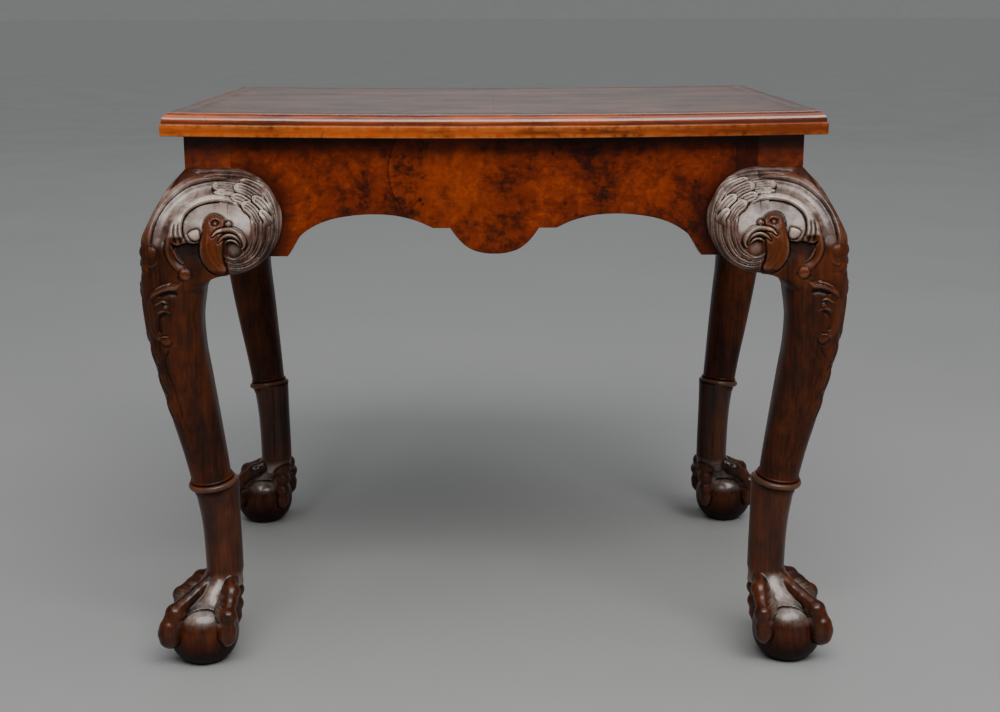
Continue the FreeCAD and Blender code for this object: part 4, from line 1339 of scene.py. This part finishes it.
def turned_to(side, vertices):
    """Moves points made for the back sheet to a side, by a mirror or an exchange of directions."""
    if side in ("left", "right"):
        vertices = vertices[:, [1, 0, 2]]
    return vertices * {"front": [1, -1, 1], "left": [-1, 1, 1]}.get(side, [1, 1, 1])


for side in ("front", "back", "left", "right"):
    long_side = side in ("front", "back")
    half = (frieze_length if long_side else frieze_depth) - post_width
    vertices, *faces, values = sheet_skin(half, frieze_depth if long_side else frieze_length)
    skin = facing_out(turned_to(side, vertices), *faces)
    mesh = make_mesh("frieze_sheet_" + side, *skin, values, crease=40)
    add_piece("frieze_sheet_" + side, mesh, "burr_veneer", "rail_veneer_" + side)

# %% [markdown]
# ## Finishes
# A finish is a small program in shader nodes. The class below lets it be written as sums: a value
# on the surface can be added, multiplied and compared in plain Python, and each sign adds the
# Math node that does it.

# %% Shader sums
class Value:
    """A number, colour or place that varies over the surface; sums work on the numbers."""

    def __init__(self, finish, socket):
        self.finish, self.socket = finish, socket

    def combined(self, operation, first, second):
        """The result of one Math node on two numbers."""
        return self.finish.node("ShaderNodeMath", "Value", {0: first, 1: second}, operation=operation)

    def __add__(self, other):
        return self.combined("ADD", self, other)

    def __sub__(self, other):
        return self.combined("SUBTRACT", self, other)

    def __rsub__(self, other):
        return self.combined("SUBTRACT", other, self)

    def __mul__(self, other):
        return self.combined("MULTIPLY", self, other)

    __radd__, __rmul__ = __add__, __mul__

    def __abs__(self):
        return self.finish.node("ShaderNodeMath", "Value", {0: self}, operation="ABSOLUTE")


print("a", Value.__name__.lower(), "knows the signs + - * and abs")

# %% [markdown]
# A finish is one material. All its nodes come from one method, and the few that every finish needs,
# such as a noise, a band cut out of it and a mix of two colours, have short names of their own.

# %% A finish
class Finish:
    """One material, built node by node."""

    def __init__(self, name):
        self.material = bpy.data.materials.new(name)
        self.material.use_nodes = True
        self.tree = self.material.node_tree
        self.tree.nodes.clear()
        self.place = self.node("ShaderNodeTexCoord", "Object")

    def node(self, kind, output, sockets=None, **settings):
        """Adds a node, sets its settings, fills or links its sockets, and returns one output."""
        made = self.tree.nodes.new(kind)
        for key, value in settings.items():
            setattr(made, key, value)
        for key, value in (sockets or {}).items():
            if isinstance(value, Value):
                self.tree.links.new(value.socket, made.inputs[key])
            else:
                made.inputs[key].default_value = value
        return Value(self, made.outputs[output] if output else None)

    def stretched(self, scale, turn=(0, 0, 0), place=None):
        """The place on the surface, turned and scaled."""
        sockets = {"Vector": place or self.place, "Scale": scale, "Rotation": turn}
        return self.node("ShaderNodeMapping", "Vector", sockets)

    def noise(self, place, scale, detail=4.0, roughness=0.55, distortion=0.0):
        """Cloudy noise between 0 and 1, whose grains are about one over the scale in metres."""
        sockets = {"Vector": place, "Scale": scale, "Detail": detail, "Roughness": roughness}
        return self.node("ShaderNodeTexNoise", "Fac", {**sockets, "Distortion": distortion})

    def band(self, value, low, high, low_out=0.0, high_out=1.0):
        """Maps low..high to low_out..high_out with a smooth step."""
        sockets = {"Value": value, "From Min": low, "From Max": high, "To Min": low_out, "To Max": high_out}
        return self.node("ShaderNodeMapRange", "Result", sockets, interpolation_type="SMOOTHSTEP")

    def mix(self, share, first, second):
        """Colour between two colours."""
        sockets = {0: share, 6: first, 7: second}
        return self.node("ShaderNodeMix", 2, sockets, data_type="RGBA", clamp_factor=True)

    def part(self, axis):
        """One coordinate of the place, in metres."""
        return self.node("ShaderNodeSeparateXYZ", axis, {"Vector": self.place})

    def attribute(self, name):
        """A value stored on the points of the mesh, or nought where it has none."""
        return self.node("ShaderNodeAttribute", "Fac", attribute_type="GEOMETRY", attribute_name=name)

    def vectors(self, operation, sockets):
        """The result of one Vector Math node."""
        return self.node("ShaderNodeVectorMath", "Vector", sockets, operation=operation)

    def moved(self, place, amount, scale, detail=2.0):
        """The place shifted by a coloured noise, which makes straight patterns swirl."""
        shift = self.node("ShaderNodeTexNoise", "Color", {"Vector": place, "Scale": scale, "Detail": detail})
        centred = self.vectors("SUBTRACT", {0: shift, 1: (0.5, 0.5, 0.5)})
        return self.vectors("ADD", {0: place, 1: self.vectors("SCALE", {0: centred, "Scale": amount})})

    def close(self, colour, roughness, height, relief, coat=0.0, coat_roughness=0.1, specular=0.5, metal=0.0):
        """Ends the finish with its shader: colour, roughness, bump and coat vary, the rest is set once."""
        bump = {"Height": height, "Distance": relief, "Strength": 1.0}
        normal = self.node("ShaderNodeBump", "Normal", bump)
        shader = self.node("ShaderNodeBsdfPrincipled", "BSDF", {
            "Base Color": colour, "Roughness": roughness, "Normal": normal, "Coat Weight": coat,
            "Coat Roughness": coat_roughness, "Specular IOR Level": specular, "Metallic": metal,
        })
        self.node("ShaderNodeOutputMaterial", None, {"Surface": shader})
        print(self.material.name, "has", len(self.tree.nodes), "nodes")
        return self.material


trial = Finish("trial")
total = trial.part("Z") * 2 + 1
print("z times 2 plus 1 is the", total.socket.name, "of the last of", len(trial.tree.nodes), "nodes")
bpy.data.materials.remove(trial.material)

# %% [markdown]
# Burr walnut has no straight grain: it swirls round hundreds of dormant buds. The pattern is a
# noise whose place is first pushed about by another noise. Buds are the centres of a cell pattern,
# kept only where a cloud mask is high, so they gather in clusters as they do in the wood.

# %% Burr veneer
almost_black, handled = (0.008, 0.0025, 0.001, 1), (0.030, 0.005, 0.001, 1)
frieze_tones = (0.021, 0.0029, 0.0005, 1), (0.148, 0.0178, 0.0012, 1), (0.39, 0.060, 0.0040, 1)
post_tones = frieze_tones[0], (0.13, 0.017, 0.0013, 1), (0.29, 0.050, 0.004, 1)
top_tones = (0.020, 0.006, 0.003, 1), (0.085, 0.024, 0.009, 1), (0.18, 0.062, 0.022, 1)
top_handled = (0.03, 0.010, 0.005, 1)
stile_x, patch_x, patch_z, patch_bend = 0.2227, -0.098, 0.480, 10.0
knot_x, knot_z = -0.069, 0.4533
shadow_start, shadow_full = 0.4975, 0.5085


def burr_figure(finish):
    """Tone and relief: clouds, swirl, flecks, fibres and lines added up, less the clustered buds."""
    place = finish.moved(finish.place, 0.03, 9.0)
    swirl_place = finish.moved(place, 0.0045, 55.0)
    clouds = finish.noise(finish.stretched((1, 1, 0.55), place=place), 15.0, 3.0)
    swirl = finish.noise(swirl_place, 62.0, 8.0, 0.72, 0.35)
    fibres = finish.noise(finish.stretched((0.35, 0.35, 1.0), (0, 0.5, 0), swirl_place), 330.0, 3.0, 0.6)
    lines = finish.node("ShaderNodeMath", "Value", {0: swirl * 9.0, 1: 1.0}, operation="PINGPONG")
    sockets = {"Vector": swirl_place, "Scale": 115.0}
    cells = finish.node("ShaderNodeTexVoronoi", "Distance", sockets, feature="F1")
    gathered = finish.band(finish.noise(place, 21.0, 2.0), 0.50, 0.66)
    buds = (1.0 - finish.band(cells, 0.06, 0.30)) * gathered
    pores = finish.noise(finish.stretched((1, 1, 1.6)), 900.0, 2.0, 0.6)
    flecks = finish.noise(swirl_place, 150.0, 5.0, 0.65)
    tone = clouds + swirl * 0.85 + flecks * 0.55 + fibres * 0.25 + lines * 0.07 - 0.895 - buds * 0.30
    return tone, pores, swirl


def frieze_marks(finish, colour, tone, dark, light):
    """The stile joint at one end, and a curved patch with a knot, drawn as thin bands of distance."""
    x, z = finish.part("X"), finish.part("Z")
    strip = finish.band(x, stile_x - 0.0002, stile_x + 0.0002)
    colour = finish.mix(strip * 0.5, colour, dark)
    joint = 1.0 - finish.band(abs(x - stile_x), 0.0002, 0.0007)
    bend = x - patch_x - (z - patch_z) * (z - patch_z) * patch_bend
    lighter = finish.band(bend, 0.0, 0.001) * (1.0 - finish.band(x, -0.05, 0.04))
    colour = finish.mix(lighter * finish.band(tone, 0.2, 0.5) * 0.16, colour, light)
    patch = (1.0 - finish.band(abs(bend), 0.0002, 0.0008)) * finish.band(z, 0.42, 0.436)
    away = (x - knot_x) * (x - knot_x) + (z - knot_z) * (z - knot_z)
    knot = 1.0 - finish.band(away, 0.000002, 0.000007)
    return finish.mix(joint * 0.7 + patch * 0.7 + knot * 0.85, colour, almost_black)


def burr(name, dark, middle, light, gloss, polish_tone, coat, on_frieze=True, joints=False):
    """Three tones by the figure, darkened at rubbed edges and in pores, with a painted shadow under the top
    and painted shade with dirt beside the ears.
    """
    finish = Finish(name)
    tone, pores, swirl = burr_figure(finish)
    low = finish.mix(finish.band(tone, 0.14, 0.56), dark, middle)
    colour = finish.mix(finish.band(tone, 0.46, 0.98), low, light)
    rubbed = finish.attribute("edge")
    worn = rubbed * finish.band(finish.noise(finish.place, 70.0, 3.0), 0.35, 0.65)
    colour = finish.mix(worn * 0.55, colour, polish_tone)
    colour = finish.mix(finish.band(pores, 0.60, 0.78) * 0.35, colour, dark)
    if on_frieze:
        # Painted shadow of the top's overhang on the upper frieze and the posts.
        painted_shadow_under_top = finish.band(finish.part("Z"), shadow_start, shadow_full)
        colour = finish.mix(painted_shadow_under_top * 0.88, colour, almost_black)
        # Painted shade with dirt beside the ears.
        colour = finish.mix(finish.attribute("grime") * 0.78, colour, dark)
    if joints:
        colour = frieze_marks(finish, colour, tone, dark, light)
    smears = finish.noise(finish.stretched((1.0, 2.6, 1.0)), 9.0, 4.0, 0.6)
    roughness = finish.band(smears, 0.3, 0.75, gloss, gloss + 0.07) + worn * 0.10
    height = pores * 0.25 + swirl * 0.4 + finish.noise(finish.place, 24.0, 1.0) * 1.2
    return finish.close(colour, roughness, height, 0.00022, coat=coat, coat_roughness=0.12, specular=coat)


frieze_finish = burr("burr_frieze", *frieze_tones, 0.34, handled, 0.12, joints=True)
post_finish = burr("burr_post", *post_tones, 0.34, handled, 0.2)
top_finish = burr("burr_top", *top_tones, 0.32, top_handled, 0.2, on_frieze=False)

# %% [markdown]
# The edge moulding is straight-grained and lighter, rubbed brightest along its arrises, with a painted
# highlight on the upward fillet. Its grain follows each side of the top, so the two long and the two
# short sides have finishes of their own.

# %% Moulding wood
moulding_dark, moulding_light = (0.055, 0.007, 0.0008, 1), (0.41, 0.066, 0.003, 1)
arris_and_highlight_tone, end_tone = (0.48, 0.145, 0.024, 1), (0.10, 0.014, 0.0015, 1)
grime_and_shade_tone, bruise_tone = (0.020, 0.005, 0.002, 1), (0.035, 0.011, 0.005, 1)
border_dark, border_light = (0.020, 0.006, 0.003, 1), (0.14, 0.045, 0.016, 1)


def moulding_finish(name, grain_scale):
    """Grain drawn out along the side, arrises worn bright with a painted highlight, dirt and painted shade in
    the corners of the profile, and a darker right end.
    """
    finish = Finish(name)
    grain_place = finish.stretched(grain_scale, place=finish.moved(finish.place, 0.01, 6.0))
    grain = finish.noise(grain_place, 420.0, 4.0, 0.6)
    broad = finish.noise(grain_place, 70.0, 3.0, 0.5)
    patches = finish.noise(finish.place, 17.0, 4.0, 0.6)
    tone = grain * 0.7 + broad * 0.5 + patches * 0.45 - 0.48
    colour = finish.mix(finish.band(tone, 0.1, 0.62), moulding_dark, moulding_light)
    worn = finish.attribute("edge") * finish.band(finish.noise(finish.place, 140.0, 3.0), 0.3, 0.62)
    # Arrises worn bright, with a painted highlight on the upward fillet.
    colour = finish.mix(worn * 0.7, colour, arris_and_highlight_tone)
    darker_end = finish.band(finish.part("X"), 0.10, 0.27) * finish.band(patches, 0.35, 0.6, 0.45, 0.8)
    colour = finish.mix(darker_end, colour, end_tone)
    # Dirt and painted shade in the corners of the profile.
    colour = finish.mix(finish.attribute("grime") * 0.85, colour, grime_and_shade_tone)
    bruises = finish.band(finish.noise(finish.place, 55.0, 3.0, 0.65), 0.66, 0.74)
    colour = finish.mix(bruises * 0.75, colour, bruise_tone)
    cloud = finish.band(patches * 0.6 + broad * 0.4, 0.35, 0.65)
    border, upper = finish.mix(cloud, border_dark, border_light), finish.attribute("upper")
    colour = finish.mix(upper, colour, border)
    roughness = finish.band(patches, 0.3, 0.7, 0.20, 0.34) + upper * 0.12
    coat = finish.attribute("gloss") * 0.8
    height = grain * 0.4 + bruises * -0.6
    return finish.close(colour, roughness, height, 0.0002, coat=coat, coat_roughness=0.07, specular=0.25)


moulding_long = moulding_finish("moulding_long", (0.06, 1.0, 1.0))
moulding_short = moulding_finish("moulding_short", (1.0, 0.06, 1.0))

# %% [markdown]
# The carved wood is dark from wax and smoke, in mottled clouds. Cuts are almost black from wax and
# painted shade, raised forms are rubbed to a warm brown and carry painted highlights, and polished
# faces carry a pale grey painted reflection of the light that comes and goes. The fine upright grain
# shows as streaks down the thighs. The values stored on the points say where a face is polished and
# sheened, warm, sunk or shaded, or glossy.

# %% Carved wood
walnut_dark, walnut_light = (0.008, 0.0022, 0.0010, 1), (0.090, 0.0200, 0.0046, 1)
smoke_tone, warm_tone = (0.013, 0.0060, 0.0040, 1), (0.13, 0.028, 0.0040, 1)
painted_sheen_tone, rubbed_and_highlight_tone = (0.45, 0.375, 0.33, 1), (0.30, 0.18, 0.12, 1)
wax_and_shade_tone = (0.004, 0.0018, 0.0012, 1)


def carved_finish():
    """Grain and streaks, then smoke, warmth, cloudy painted sheen, rubbed ridges with painted highlights and
    cuts darkened with wax and painted shade, laid on in turn.
    """
    finish = Finish("carved_walnut")
    place = finish.moved(finish.place, 0.006, 22.0)
    grain = finish.noise(finish.stretched((1, 1, 0.05), place=place), 380.0, 4.0, 0.6)
    streaks = finish.noise(finish.stretched((1, 1, 0.12), place=place), 60.0, 3.0)
    patches = finish.noise(finish.place, 21.0, 4.0, 0.6)
    tone = grain * 0.55 + streaks * 0.65 + patches * 0.5 - 0.40
    colour = finish.mix(finish.band(tone, 0.15, 0.75), walnut_dark, walnut_light)
    smoke = finish.band(finish.noise(finish.stretched((1, 1, 0.6)), 42.0, 6.0, 0.7), 0.44, 0.66)
    colour = finish.mix(smoke * 0.62, colour, smoke_tone)
    warm = finish.attribute("warmth") * finish.band(patches, 0.2, 0.55)
    colour = finish.mix(warm * 0.45, colour, warm_tone)
    # Pale painted sheen and reflection of the light, in clouds; the same share adds gloss to the coat.
    painted_sheen_share = finish.attribute("polish")
    smudge = finish.noise(place, 85.0, 6.0, 0.68)
    cloudy = finish.band(patches * 0.6 + smudge * 0.7, 0.50, 0.82, 0.12, 1.0)
    colour = finish.mix(painted_sheen_share * cloudy, colour, painted_sheen_tone)
    hollow = finish.attribute("sunk")
    # Ridges lighter: rubbed wear and a painted highlight, stronger where there is painted sheen.
    rubbed = finish.band(hollow * -1.0, 0.12, 0.8)
    colour = finish.mix(rubbed * (painted_sheen_share * 0.4 + 0.25), colour, rubbed_and_highlight_tone)
    # Cuts darkened with dark wax and painted shade.
    wax_and_shade = finish.band(hollow, 0.07, 0.6)
    colour = finish.mix(wax_and_shade * 0.95, colour, wax_and_shade_tone)
    roughness = finish.band(patches, 0.3, 0.7, 0.30, 0.44) + wax_and_shade * 0.25 - rubbed * 0.06 - painted_sheen_share * 0.04
    chatter = finish.noise(finish.stretched((1, 1, 0.5)), 130.0, 2.0, 0.5)
    height = grain * 0.3 + chatter * 0.5
    sheen = painted_sheen_share * 0.6 + rubbed * 0.3 + finish.attribute("gloss") * 0.5 + 0.06
    return finish.close(colour, roughness, height, 0.0003, coat=sheen, coat_roughness=0.17, specular=0.12)


carved_walnut = carved_finish()

# %% [markdown]
# Wood that nobody was meant to see is plain pale softwood, with broad growth rings and dust. The
# screws are dull steel with some rust.

# %% Carcass wood and steel
pine_dark, pine_light, dust_tone = (0.30, 0.175, 0.085, 1), (0.46, 0.31, 0.175, 1), (0.13, 0.085, 0.055, 1)
steel_tone, rust_tone = (0.32, 0.31, 0.30, 1), (0.14, 0.07, 0.04, 1)


def softwood_finish():
    """Growth rings as a wave along the grain, under patches of dust."""
    finish = Finish("plain_softwood")
    place = finish.stretched((0.12, 1.0, 1.0), place=finish.moved(finish.place, 0.02, 3.0))
    sockets = {"Vector": place, "Scale": 28.0, "Distortion": 3.0, "Detail": 3.0}
    rings = finish.node("ShaderNodeTexWave", "Fac", sockets, bands_direction="Z")
    dust = finish.noise(finish.place, 30.0, 5.0, 0.6)
    colour = finish.mix(rings * 0.7, pine_dark, pine_light)
    colour = finish.mix(finish.band(dust, 0.35, 0.75) * 0.5, colour, dust_tone)
    return finish.close(colour, finish.band(dust, 0.3, 0.7, 0.6, 0.8), rings * 0.5 + dust, 0.0003)


def steel_finish():
    """Grey metal, browner and rougher where a fine noise is high."""
    finish = Finish("dull_steel")
    rust = finish.noise(finish.place, 400.0, 4.0, 0.6)
    colour = finish.mix(finish.band(rust, 0.45, 0.7), steel_tone, rust_tone)
    return finish.close(colour, finish.band(rust, 0.3, 0.7, 0.35, 0.7), rust, 0.00008, metal=0.9)


softwood, steel = softwood_finish(), steel_finish()

# %% [markdown]
# The name of a piece says what it is made of, so one list of first words gives each its finish.
# The solids that stay in view, such as the rails and the glue blocks, are finished in the same way.

# %% Hand out the finishes
finish_by_name = [
    ("carved_", carved_walnut), ("claw_foot_", carved_walnut), ("leg_ring_", carved_walnut),
    ("top_moulding_front", moulding_long), ("top_moulding_back", moulding_long),
    ("top_moulding_", moulding_short), ("veneer_leaf_", top_finish), ("frieze_sheet_", frieze_finish),
    ("post_veneer_", post_finish), ("top_screws", steel), ("", softwood),
]


def finish_of(name):
    """The finish of the first entry that the name starts with; what has none is softwood."""
    return next(finish for start, finish in finish_by_name if name.startswith(start))


def wear(piece, material):
    """Gives a piece one material in its first slot."""
    piece.data.materials.clear()
    piece.data.materials.append(material)


for piece in pieces:
    wear(piece, finish_of(piece.name))
for name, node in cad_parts.items():
    for slot in node.material_slots:
        slot.material = finish_of(name)
    if not node.material_slots:
        node.data.materials.append(finish_of(name))
print("finishes:", len([m for m in bpy.data.materials if m.users]))

# %% [markdown]
# ## Floor and light
# A plain pale floor lies under the table, and far away it rises like the rim of a dish, so that it
# fills the view from every side. One broad soft light stands in front and above, a long low one far
# behind puts a sheen on the top, and a wide sun fills in as a pale ceiling would.

# %% Floor
near_edge, far_edge, far_height = 60, 300, 60
square = np.array([(-1, -1), (1, -1), (1, 1), (-1, 1)])
floor_corners = [(x, y, 0) for x, y in square * near_edge]
floor_corners += [(x, y, far_height) for x, y in square * far_edge]
floor_faces = [(0, 1, 2, 3)] + [((i + 1) % 4, i, i + 4, (i + 1) % 4 + 4) for i in range(4)]
floor_mesh = bpy.data.meshes.new("floor")
floor_mesh.from_pydata(floor_corners, [], floor_faces)
floor = bpy.data.objects.new("floor", floor_mesh)
bpy.context.scene.collection.objects.link(floor)
floor_finish = Finish("pale_floor")
speckle = floor_finish.noise(floor_finish.place, 3.0, 5.0, 0.6)
floor_colour = floor_finish.mix(speckle, (0.27, 0.275, 0.275, 1), (0.31, 0.315, 0.315, 1))
floor_roughness = floor_finish.band(speckle, 0.3, 0.7, 0.55, 0.65)
wear(floor, floor_finish.close(floor_colour, floor_roughness, speckle, 0.0002))

# %% [markdown]
# The lights are soft and broad, because the photograph's shadows have no edges. Their strengths
# were set by comparing the tones of the top, the frieze and the floor with the photograph's.

# %% Lights and world
def soft_light(name, place, aim, size, power, colour, spread):
    """An oval light at a place, turned towards its aim, whose beam is narrowed by its hood."""
    data = bpy.data.lights.new(name, "AREA")
    data.shape, data.size, data.size_y = "ELLIPSE", size[0], size[1]
    data.spread = math.radians(spread)
    data.energy, data.color = power, colour
    light = bpy.data.objects.new(name, data)
    direction = np.array(aim, float) - np.array(place, float)
    forward = direction / np.linalg.norm(direction)
    side = np.cross(forward, [0.0, 0.0001, 1.0])
    side = side / np.linalg.norm(side)
    light.matrix_world = facing(side, np.cross(side, forward), -forward, place)
    bpy.context.scene.collection.objects.link(light)
    print(name, power, "watts")


soft_light(
    "front_above", place=(0.35, -2.22, 2.6), aim=(0, 0, 0.35), size=(3.4, 1.3), power=100,
    colour=(1.0, 0.98, 0.95), spread=180,
)
soft_light(
    "wall_behind", place=(0, 6.5, 2.4), aim=(0, 0, 0.5), size=(12.0, 3.0), power=6,
    colour=(0.96, 0.98, 1.0), spread=70,
)
sun_data = bpy.data.lights.new("ceiling", "SUN")
sun_data.energy, sun_data.angle = 1.75, math.radians(70)
sun = bpy.data.objects.new("ceiling", sun_data)
sun.rotation_euler = (math.radians(18), math.radians(8), 0)
bpy.context.scene.collection.objects.link(sun)
world = bpy.data.worlds.new("pale_room")
world.use_nodes = True
world.node_tree.nodes["Background"].inputs["Color"].default_value = (0.62, 0.64, 0.66, 1)
world.node_tree.nodes["Background"].inputs["Strength"].default_value = 0.14
bpy.context.scene.world = world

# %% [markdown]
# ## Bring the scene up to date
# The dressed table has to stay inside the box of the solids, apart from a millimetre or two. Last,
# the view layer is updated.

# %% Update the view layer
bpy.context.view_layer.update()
